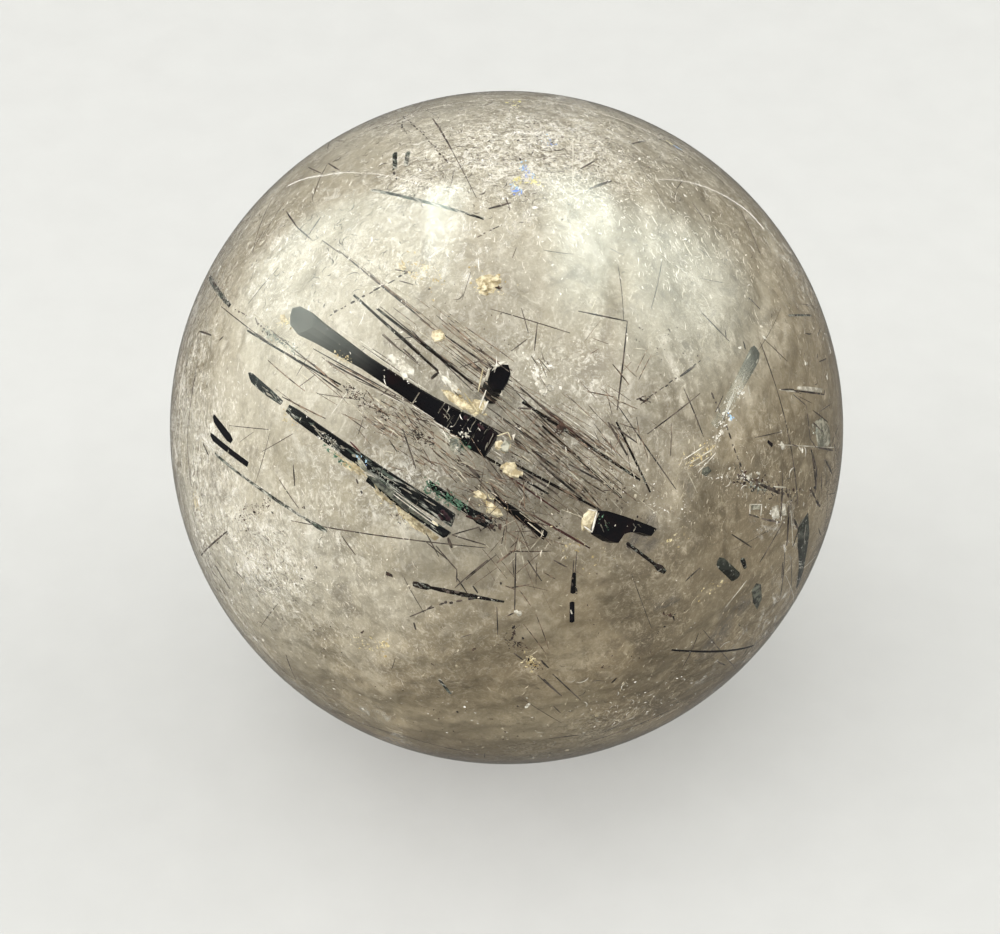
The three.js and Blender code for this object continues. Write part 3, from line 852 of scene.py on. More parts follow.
DARK_LINES = [
    (337, 250, 430, 326, 1.7, 2.6, 3.4), (322, 241, 340, 254, 1.4, 2.2, 2.6),
    (444, 335, 491, 368, 1.9, 3.4, 4.2), (380, 307, 473, 383, 1.3, 4.0, 5.4),
    (382, 335, 401, 351, 1.5, 4.4, 4.7), (403, 349, 418, 363, 1.7, 4.3, 4.7),
    (431, 379, 438, 373, 3.2, 3.4, 3.6), (490, 309, 570, 333, 1.1, 3.0, 4.0),
    (511, 351, 527, 339, 1.2, 3.0, 3.3), (521, 308, 528, 333, 1.0, 3.0, 3.3),
    (537, 323, 534, 351, 1.2, 2.8, 3.0), (520, 387, 552, 417, 1.6, 4.2, 5.0),
    (516, 392, 560, 436, 1.4, 5.2, 6.0), (518, 408, 535, 409, 1.7, 4.0, 4.0),
    (487, 407, 548, 452, 1.5, 5.2, 6.2), (511, 436, 560, 470, 2.0, 6.0, 6.6),
    (313, 349, 400, 397, 1.3, 2.4, 4.2), (401, 397, 452, 431, 1.9, 4.2, 6.4),
    (270, 330, 339, 387, 1.3, 1.6, 2.8), (317, 394, 360, 400, 0.8, 3.0, 3.4),
    (403, 430, 416, 469, 1.4, 3.0, 4.0), (389, 440, 397, 452, 1.3, 3.0, 3.2),
    (569, 464, 603, 482, 2.0, 5.0, 6.0), (523, 471, 558, 494, 2.1, 5.0, 6.0),
    (540, 463, 582, 498, 2.5, 6.0, 6.8), (608, 422, 627, 455, 2.6, 3.4, 4.4),
    (611, 424, 639, 444, 1.6, 3.2, 4.0), (578, 311, 627, 321, 1.7, 2.4, 3.0),
    (627, 321, 617, 410, 1.7, 3.0, 4.0), (618, 406, 676, 489, 1.4, 3.4, 4.6),
    (700, 393, 647, 434, 1.3, 3.0, 4.0), (702, 313, 729, 341, 1.3, 2.2, 3.2),
    (725, 330, 726, 339, 1.5, 2.6, 2.8), (680, 376, 694, 366, 2.6, 2.6, 2.8),
    (760, 342, 776, 387, 1.4, 2.0, 2.4), (776, 387, 787, 428, 1.4, 2.4, 2.6),
    (787, 428, 792, 453, 1.5, 2.6, 2.6), (792, 453, 798, 504, 1.7, 2.6, 2.2),
    (763, 338, 787, 361, 1.0, 2.0, 2.2), (755, 437, 782, 431, 1.0, 2.4, 2.6),
    (783, 468, 780, 517, 1.2, 2.4, 2.6), (825, 459, 832, 473, 3.4, 1.0, 1.2),
    (826, 473, 825, 530, 1.3, 1.2, 1.2), (813, 410, 828, 422, 1.5, 1.4, 1.4),
    (813, 422, 827, 436, 1.9, 1.2, 1.4), (834, 444, 836, 451, 3.0, 0.7, 0.7),
    (811, 489, 815, 497, 2.8, 1.4, 1.4), (816, 500, 820, 506, 3.2, 1.2, 1.2),
    (762, 518, 780, 522, 2.3, 2.4, 2.4), (749, 514, 759, 517, 1.7, 2.4, 2.4),
    (703, 629, 735, 667, 1.0, 1.6, 1.8), (718, 661, 726, 665, 1.8, 1.4, 1.4),
    (432, 119, 451, 150, 2.1, 1.6, 2.2), (451, 150, 476, 198, 1.1, 2.2, 2.8),
    (488, 209, 510, 203, 2.5, 2.6, 2.8), (589, 189, 611, 181, 3.1, 2.6, 2.8),
    (580, 169, 594, 161, 2.1, 2.0, 2.2), (631, 144, 645, 141, 2.1, 1.6, 1.6),
    (286, 212, 297, 228, 1.9, 1.6, 1.9), (297, 228, 311, 240, 1.7, 1.9, 2.2),
    (328, 164, 339, 171, 1.7, 1.4, 1.6), (308, 168, 321, 174, 1.5, 1.2, 1.4),
    (395, 270, 412, 273, 1.7, 3.0, 3.2), (399, 281, 413, 285, 1.3, 3.0, 3.2),
    (262, 452, 293, 434, 0.9, 2.4, 3.0), (229, 426, 270, 430, 0.8, 2.0, 2.6),
    (299, 387, 315, 375, 1.0, 3.0, 3.0), (291, 521, 486, 548, 1.3, 2.8, 5.4),
    (356, 479, 358, 484, 2.1, 3.4, 3.4), (361, 491, 362, 494, 2.0, 3.4, 3.4),
    (198, 360, 187, 440, 1.2, 0.8, 0.9), (187, 440, 191, 485, 1.2, 0.9, 0.9),
    (203, 444, 208, 455, 2.2, 1.4, 1.4), (201, 556, 227, 532, 2.0, 1.0, 2.0),
    (426, 533, 439, 557, 1.2, 3.6, 4.2), (452, 535, 480, 527, 1.2, 3.6, 4.2),
    (452, 535, 486, 545, 1.4, 3.6, 4.6), (448, 538, 452, 548, 3.0, 3.4, 3.6),
    (425, 541, 448, 560, 1.4, 4.0, 4.4), (436, 546, 457, 570, 1.4, 4.0, 4.4),
    (496, 555, 466, 580, 1.2, 4.0, 4.4), (516, 553, 515, 611, 1.6, 3.6, 4.6),
    (528, 560, 542, 581, 1.5, 4.2, 4.6), (554, 560, 567, 567, 1.7, 4.0, 4.0),
    (577, 551, 575, 578, 1.0, 2.4, 2.6),
    (544, 679, 562, 696, 2.0, 2.0, 2.2), (553, 674, 581, 700, 1.6, 2.2, 2.2),
    (340, 715, 410, 738, 1.3, 0.8, 0.9), (410, 738, 500, 757, 1.3, 0.9, 0.7),
    (781, 389, 794, 389, 1.6, 1.9, 1.7), (794, 390, 824, 394, 2.0, 1.6, 1.1),
    (824, 389, 824, 394, 2.2, 1.1, 1.1), (793, 394, 806, 405, 1.4, 1.9, 1.6),
    (743, 341, 745, 349, 1.8, 2.4, 2.4), (723, 395, 715, 412, 1.2, 3.0, 3.2),
    (819, 361, 826, 358, 1.8, 1.2, 1.1), (817, 353, 817, 358, 1.4, 1.2, 1.2),
    (792, 444, 798, 446, 1.4, 1.8, 1.8), (817, 447, 833, 450, 2.0, 1.2, 0.9),
    (806, 405, 810, 438, 1.4, 1.6, 1.5), (810, 438, 816, 447, 1.4, 1.5, 1.3),
    (816, 447, 832, 450, 1.2, 1.3, 0.9), (811, 449, 816, 466, 2.8, 1.5, 1.4),
    (816, 466, 817, 478, 3.0, 1.4, 1.3), (817, 478, 815, 493, 2.6, 1.3, 1.4),
    (821, 473, 822, 493, 1.8, 1.2, 1.1), (760, 484, 780, 493, 3.4, 2.4, 2.2),
    (783, 486, 780, 522, 1.6, 2.2, 2.2), (786, 516, 769, 547, 1.4, 2.0, 2.4),
    (769, 547, 760, 562, 1.4, 2.4, 2.6), (794, 519, 798, 528, 3.4, 1.4, 1.4),
    (453, 389, 465, 402, 3.0, 3.7, 4.0), (394, 332, 441, 373, 1.8, 4.2, 4.6),
    (411, 330, 473, 391, 1.2, 4.4, 5.4), (455, 459, 469, 467, 2.0, 5.0, 5.2),
    (468, 466, 480, 478, 3.8, 5.2, 5.4), (353, 296, 420, 353, 1.8, 2.8, 3.6),
    (376, 309, 420, 343, 1.6, 3.4, 4.2), (327, 361, 420, 413, 1.4, 2.6, 4.4),
    (221, 307, 253, 332, 1.2, 1.4, 2.0), (253, 332, 315, 373, 1.2, 2.0, 2.8),
    (315, 373, 342, 392, 1.2, 2.8, 3.0), (497, 607, 498, 635, 1.2, 3.8, 3.6),
    (513, 560, 514, 575, 1.1, 4.6, 4.6), (448, 560, 457, 570, 1.4, 4.0, 4.2),
    (457, 570, 457, 582, 1.3, 4.2, 4.2), (488, 560, 465, 579, 1.6, 4.4, 4.2),
    (465, 579, 455, 588, 1.3, 4.2, 4.2), (473, 586, 478, 593, 1.8, 3.2, 3.2),
    (508, 616, 514, 613, 1.6, 3.4, 3.4), (514, 653, 523, 660, 1.7, 2.6, 2.6),
    (541, 660, 549, 668, 2.2, 2.4, 2.4), (538, 675, 562, 696, 1.6, 2.2, 2.2),
    (554, 706, 561, 713, 1.3, 1.8, 1.8), (612, 683, 617, 678, 2.2, 1.8, 1.8),
    (574, 560, 573, 575, 1.2, 3.0, 2.6), (432, 606, 427, 610, 1.6, 3.8, 3.8),
    (427, 610, 410, 617, 1.4, 3.8, 3.6), (414, 623, 416, 630, 2.0, 3.6, 3.6),
    (207, 566, 218, 579, 1.4, 1.0, 1.2), (286, 655, 296, 680, 1.6, 1.2, 1.0),
    (236, 572, 243, 579, 1.5, 1.6, 1.6), (732, 534, 752, 547, 1.6, 2.8, 2.6),
    (254, 333, 265, 340, 1.7, 1.8, 2.2), (219, 341, 223, 337, 1.5, 1.0, 1.0),
    (255, 318, 258, 326, 1.5, 1.8, 1.8), (783, 562, 782, 578, 1.8, 2.2, 2.2),
    (812, 453, 816, 489, 3.4, 1.6, 1.5), (789, 505, 787, 545, 2.6, 2.4, 2.4),
    (785, 552, 780, 600, 1.6, 2.4, 2.2), (791, 502, 791, 530, 1.2, 2.2, 2.2),
    (531, 356, 538, 366, 0.9, 3.2, 3.4), (538, 358, 550, 372, 0.8, 3.4, 3.6),
    (362, 346, 418, 384, 0.8, 2.8, 3.8), (372, 349, 390, 361, 0.7, 2.8, 3.2),
    (326, 361, 360, 380, 0.9, 2.4, 3.2), (356, 380, 412, 404, 0.8, 3.2, 4.2),
    (383, 334, 396, 346, 0.9, 4.0, 4.4), (395, 346, 420, 366, 0.9, 4.0, 4.6),
]
DOTTED_LINES = [
    (235, 309, 246, 316, 2.0, 1.8, 2.0), (258, 324, 270, 334, 2.2, 2.2, 2.4),
    (402, 117, 448, 164, 2.0, 1.4, 2.2), (476, 237, 502, 225, 1.8, 3.0, 3.0),
    (380, 288, 329, 316, 2.2, 3.4, 3.0), (474, 598, 444, 604, 3.0, 4.6, 4.0),
    (444, 604, 427, 610, 2.2, 4.0, 3.8), (411, 271, 380, 288, 1.8, 3.4, 3.4),
    (442, 590, 474, 597, 3.0, 2.0, 3.2), (737, 473, 760, 486, 3.4, 3.0, 2.6),
    (572, 577, 576, 593, 3.6, 2.2, 3.2), (751, 479, 790, 496, 3.0, 3.0, 2.4),
    (401, 122, 403, 131, 2.2, 1.4, 1.6), (640, 404, 700, 360, 1.4, 3.6, 3.0),
    (627, 545, 658, 566, 2.6, 5.0, 3.6), (712, 392, 742, 470, 2.0, 4.2, 3.6),
    (393, 169, 396, 182, 2.4, 2.4, 2.8), (470, 420, 520, 462, 1.8, 6.4, 7.0),
]
MAROON_LINES = [
    (350, 442, 360, 452, 1.8, 2.8, 3.0), (533, 515, 590, 548, 2.4, 6.2, 7.0),
    (500, 470, 560, 512, 1.8, 6.6, 7.2), (466, 516, 486, 522, 3.2, 5.0, 5.0),
    (545, 410, 612, 462, 1.6, 5.6, 6.6),
]
PALE_LINES = [
    (572, 141, 572, 183, 1.3, 2.4, 2.8), (547, 206, 589, 189, 1.2, 2.8, 2.6),
    (347, 392, 329, 418, 1.0, 3.0, 3.0), (779, 389, 795, 391, 1.6, 2.0, 2.0),
    (778, 444, 834, 447, 1.3, 2.0, 0.9), (442, 376, 452, 384, 2.6, 3.2, 3.4),
    (486, 390, 479, 408, 1.6, 3.4, 3.6), (597, 511, 592, 532, 2.2, 2.6, 2.6),
    (584, 526, 592, 532, 1.8, 2.6, 2.6), (588, 509, 597, 511, 1.2, 2.6, 2.6),
    (734, 390, 728, 408, 1.2, 3.0, 3.2), (737, 388, 726, 414, 0.9, 3.0, 3.2),
    (731, 396, 722, 420, 1.0, 3.0, 3.4), (750, 504, 762, 504, 1.2, 2.6, 2.6),
    (690, 463, 712, 449, 1.5, 3.4, 3.2), (694, 467, 709, 457, 1.1, 3.4, 3.2),
    (684, 459, 704, 446, 1.1, 3.4, 3.2), (698, 472, 716, 452, 0.9, 3.4, 3.2),
    (750, 504, 750, 514, 1.2, 2.6, 2.6), (762, 504, 761, 515, 1.2, 2.6, 2.6),
    (372, 378, 397, 394, 0.7, 2.8, 3.4), (412, 405, 434, 419, 0.7, 3.4, 3.8),
    (433, 421, 450, 431, 0.9, 3.8, 4.2), (341, 331, 372, 352, 0.8, 2.0, 2.8),
    (352, 336, 392, 364, 0.7, 2.4, 3.2), (366, 349, 418, 386, 0.7, 2.8, 3.8),
    (395, 370, 428, 391, 1.0, 3.2, 3.8), (360, 341, 371, 349, 1.4, 2.4, 2.6),
    (330, 362, 372, 384, 0.7, 2.4, 3.2), (346, 376, 412, 408, 0.6, 3.2, 4.2),
    (494, 451, 501, 456, 0.8, 4.1, 4.1), (501, 435, 507, 439, 0.5, 4.1, 4.1),
    (747, 580, 726, 607, 0.8, 2.6, 2.6),
    (488, 401, 482, 413, 2.0, 4.2, 4.0), (774, 486, 786, 487, 1.6, 2.0, 2.0),
    (393, 494, 435, 525, 1.0, 2.4, 2.6), (396, 493, 438, 524, 0.7, 2.4, 2.6),
    (801, 570, 817, 554, 1.2, 1.2, 1.1), (786, 575, 799, 610, 0.9, 1.4, 1.2),
    (791, 510, 793, 545, 1.2, 1.6, 1.6), (745, 372, 741, 384, 1.4, 2.6, 2.8),
    (748, 385, 750, 396, 1.2, 2.6, 2.8), (752, 361, 747, 370, 1.4, 2.2, 2.4),
    (442, 432, 456, 437, 1.4, 4.2, 4.2), (443, 431, 450, 442, 1.4, 4.2, 4.2),
    (383, 388, 470, 449, 0.7, 4.6, 5.6), (560, 412, 640, 471, 1.2, 5.6, 6.4),
    (520, 386, 590, 440, 1.2, 5.4, 6.4), (571, 610, 573, 616, 1.4, 0.9, 0.9),
]
GOLD_LINES = [
    # The second and third lines are painted rim highlights on a lump, drawn in gold
    (483, 368, 478, 392, 1.4, 4.4, 4.6), (497, 436, 508, 432, 1.2, 4.0, 4.0),
    (508, 432, 511, 440, 1.2, 4.0, 4.0), (464, 393, 477, 411, 1.4, 3.4, 3.6),
    (330, 354, 347, 363, 0.8, 2.2, 2.4), (333, 452, 367, 477, 1.6, 3.0, 3.4),
    (432, 521, 438, 526, 2.2, 2.2, 2.2),
    (443, 391, 479, 413, 1.8, 3.7, 4.0),
    (276, 324, 290, 321, 1.1, 1.2, 0.9),
]

# Swarms of fine needles: middle pixel, spread along and across the slope in pixels, count, slope
# and its spread in degrees, half a needle's length in pixels, depth of the nearest and farthest
NEEDLE_SWARMS = [
    (560, 436, 46, 15, 80, 37, 5, 22, 5.0, 8.0), (456, 350, 40, 13, 40, 38, 3, 26, 4.8, 6.6),
    (414, 436, 34, 15, 80, 38, 14, 9, 3.0, 6.4), (490, 486, 44, 17, 110, 36, 12, 11, 4.4, 7.0),
    (622, 442, 26, 22, 22, 56, 26, 13, 3.0, 5.0), (332, 388, 38, 12, 20, 33, 6, 18, 2.0, 4.0),
    (515, 545, 36, 14, 34, 80, 42, 15, 3.6, 6.0), (600, 400, 45, 40, 26, 45, 60, 10, 2.4, 5.0),
    (540, 462, 40, 10, 50, 37, 7, 12, 5.4, 7.6),
]

LOOSE_NEEDLES = 420
HIDDEN_BUNDLES = 11
NEEDLES_PER_BUNDLE = 34
SWARM_NEEDLE_WIDTH = 0.72 * PIXEL
LOOSE_NEEDLE_WIDTH = 0.09 * MM
HIDDEN_NEEDLE_WIDTH = 0.12 * MM

# The pieces of needles from swarms and hidden bundles: the share of the needles in each, the pair
# of colours that it wanders between, and its slot

SWARM_LOOKS = {
    "brown_needles": (1, (0.04, 0.024, 0.018), (0.34, 0.245, 0.17), "tourmaline"),
    "pale_needles": (0.45, (0.42, 0.37, 0.27), (0.74, 0.7, 0.56), "milky_veil"),
}

# The pieces of single lines in other colours than the dark ones

LINE_LOOKS = {
    "maroon_needles": (MAROON_LINES, (0.05, 0.012, 0.012), (0.12, 0.035, 0.03), "tourmaline"),
    "pale_lines": (PALE_LINES, (0.6, 0.57, 0.47), (0.9, 0.88, 0.79), "milky_veil"),
    "gold_lines": (GOLD_LINES, (0.5, 0.42, 0.24), (0.82, 0.75, 0.53), "iron_stain"),
}


def add_needle(parts, start, end, width, rng, bend=0.0):
    """A needle between two places, thinner at its ends, and bent a little."""
    steps = 5
    sag = random_direction(rng) * bend * (end - start).length
    path = []
    widths = []
    for k in range(steps):
        share = k / (steps - 1)
        path.append(start.lerp(end, share) + sag * (4 * share * (1 - share)))
        widths.append(width * (0.35 + 0.65 * math.sin(math.pi * (0.12 + 0.76 * share))))
    parts.prism(path, widths, turn=rng.uniform(0, 1))


def add_lines(parts, lines, rng):
    for x_start, y_start, x_end, y_end, width, depth_start, depth_end in lines:
        add_needle(parts, seen(x_start, y_start, depth_start), seen(x_end, y_end, depth_end),
                   width * PIXEL, rng, 0.006)


def add_dots(parts, lines, rng):
    """Needles broken into beads and short dashes."""
    for x_start, y_start, x_end, y_end, width, depth_start, depth_end in lines:
        start = seen(x_start, y_start, depth_start)
        end = seen(x_end, y_end, depth_end)
        length = (end - start).length
        reach = 0
        while reach < length:
            dash = rng.uniform(0.15, 0.7) * MM
            off = random_direction(rng) * width * PIXEL * 0.4
            first = start.lerp(end, reach / length) + off
            last = start.lerp(end, min(1, (reach + dash) / length)) + off
            if (last - first).length > 0.05 * MM:
                add_needle(parts, first, last, width * PIXEL * rng.uniform(0.5, 1.2), rng)
            reach += dash + rng.uniform(0.1, 0.45) * MM


def add_swarm(parts, swarm, share, rng):
    """Fine needles strewn about a place, nearly side by side where their slopes spread little."""
    x_middle, y_middle, along_slope, across_slope, count, slope, spread, half_length, near, far = swarm
    run = math.radians(slope)
    for _ in range(round(count * share)):
        forward = rng.gauss(0, along_slope * (1.2 - 0.2 * share))
        aside = rng.gauss(0, across_slope)
        x = x_middle + forward * math.cos(run) - aside * math.sin(run)
        y = y_middle + forward * math.sin(run) + aside * math.cos(run)
        angle = math.radians(rng.gauss(slope, spread))
        half = half_length * rng.uniform(0.3, 1.5) * share ** 0.5
        depth = rng.uniform(near, far)
        lean = rng.uniform(-0.02, 0.02) * half
        add_needle(parts, seen(x - half * math.cos(angle), y - half * math.sin(angle), depth - lean),
                   seen(x + half * math.cos(angle), y + half * math.sin(angle), depth + lean),
                   SWARM_NEEDLE_WIDTH * math.exp(rng.gauss(0, 0.4)), rng, 0.012)


def add_loose_needles(parts, rng):
    """Needles at all angles through the outer part of the ball, few of them on the eye's side."""
    for _ in range(LOOSE_NEEDLES):
        outward = random_direction(rng)
        if outward.dot(TO_EYE) > 0.3 and rng.random() < 0.6:
            continue
        middle = CENTRE + outward * BALL_RADIUS * rng.uniform(0.78, 0.93)
        level = outward.cross(random_direction(rng)).normalized()
        half = level * (0.5 + rng.expovariate(0.8)) * MM + outward * rng.uniform(-0.5, 0.5) * MM
        if half.length < 5 * MM:
            add_needle(parts, middle - half, middle + half,
                       LOOSE_NEEDLE_WIDTH * math.exp(rng.gauss(0, 0.35)), rng, 0.02)


def add_hidden_bundles(parts, share, rng):
    """Bundles like the front one, on the sides that the photo doesn't show."""
    bundles = 0
    while bundles < HIDDEN_BUNDLES:
        outward = random_direction(rng)
        if outward.dot(TO_EYE) > -0.05:
            continue
        bundles += 1
        heading = outward.cross(random_direction(rng)).normalized()
        beside = outward.cross(heading)
        for _ in range(round(NEEDLES_PER_BUNDLE * share)):
            middle = outward * BALL_RADIUS * rng.uniform(0.77, 0.9)
            middle += heading * rng.gauss(0, 4) * MM + beside * rng.gauss(0, 2.2) * MM
            if not 0.74 < middle.length / BALL_RADIUS < 0.94:
                continue
            lean = (heading + random_direction(rng) * 0.12).normalized()
            half = lean * rng.uniform(0.8, 4.5) * MM
            add_needle(parts, CENTRE + middle - half, CENTRE + middle + half,
                       HIDDEN_NEEDLE_WIDTH * math.exp(rng.gauss(0, 0.4)), rng, 0.01)


def make_needles():
    rng = random.Random(31)
    dark = MeshParts()
    add_lines(dark, DARK_LINES, rng)
    add_dots(dark, DOTTED_LINES, rng)
    add_loose_needles(dark, rng)
    dark.piece("fine_needles", grain_material("needle_tourmaline", (0.018, 0.014, 0.013),
                                              (0.16, 0.125, 0.1), 0.35, 1100), "tourmaline")
    for name, (share, dark_colour, pale_colour, slot) in SWARM_LOOKS.items():
        parts = MeshParts()
        for swarm in NEEDLE_SWARMS:
            add_swarm(parts, swarm, share, rng)
        add_hidden_bundles(parts, share, rng)
        parts.piece(name, grain_material(name, dark_colour, pale_colour, 0.35, 1600), slot)
    for name, (lines, dark_colour, pale_colour, slot) in LINE_LOOKS.items():
        parts = MeshParts()
        add_lines(parts, lines, rng)
        parts.piece(name, grain_material(name, dark_colour, pale_colour, 0.35), slot)


# Chips strewn along short lines: [x, y, x, y] in pixels, spread in pixels, count, depth of the ends
# and length of a chip in millimetres

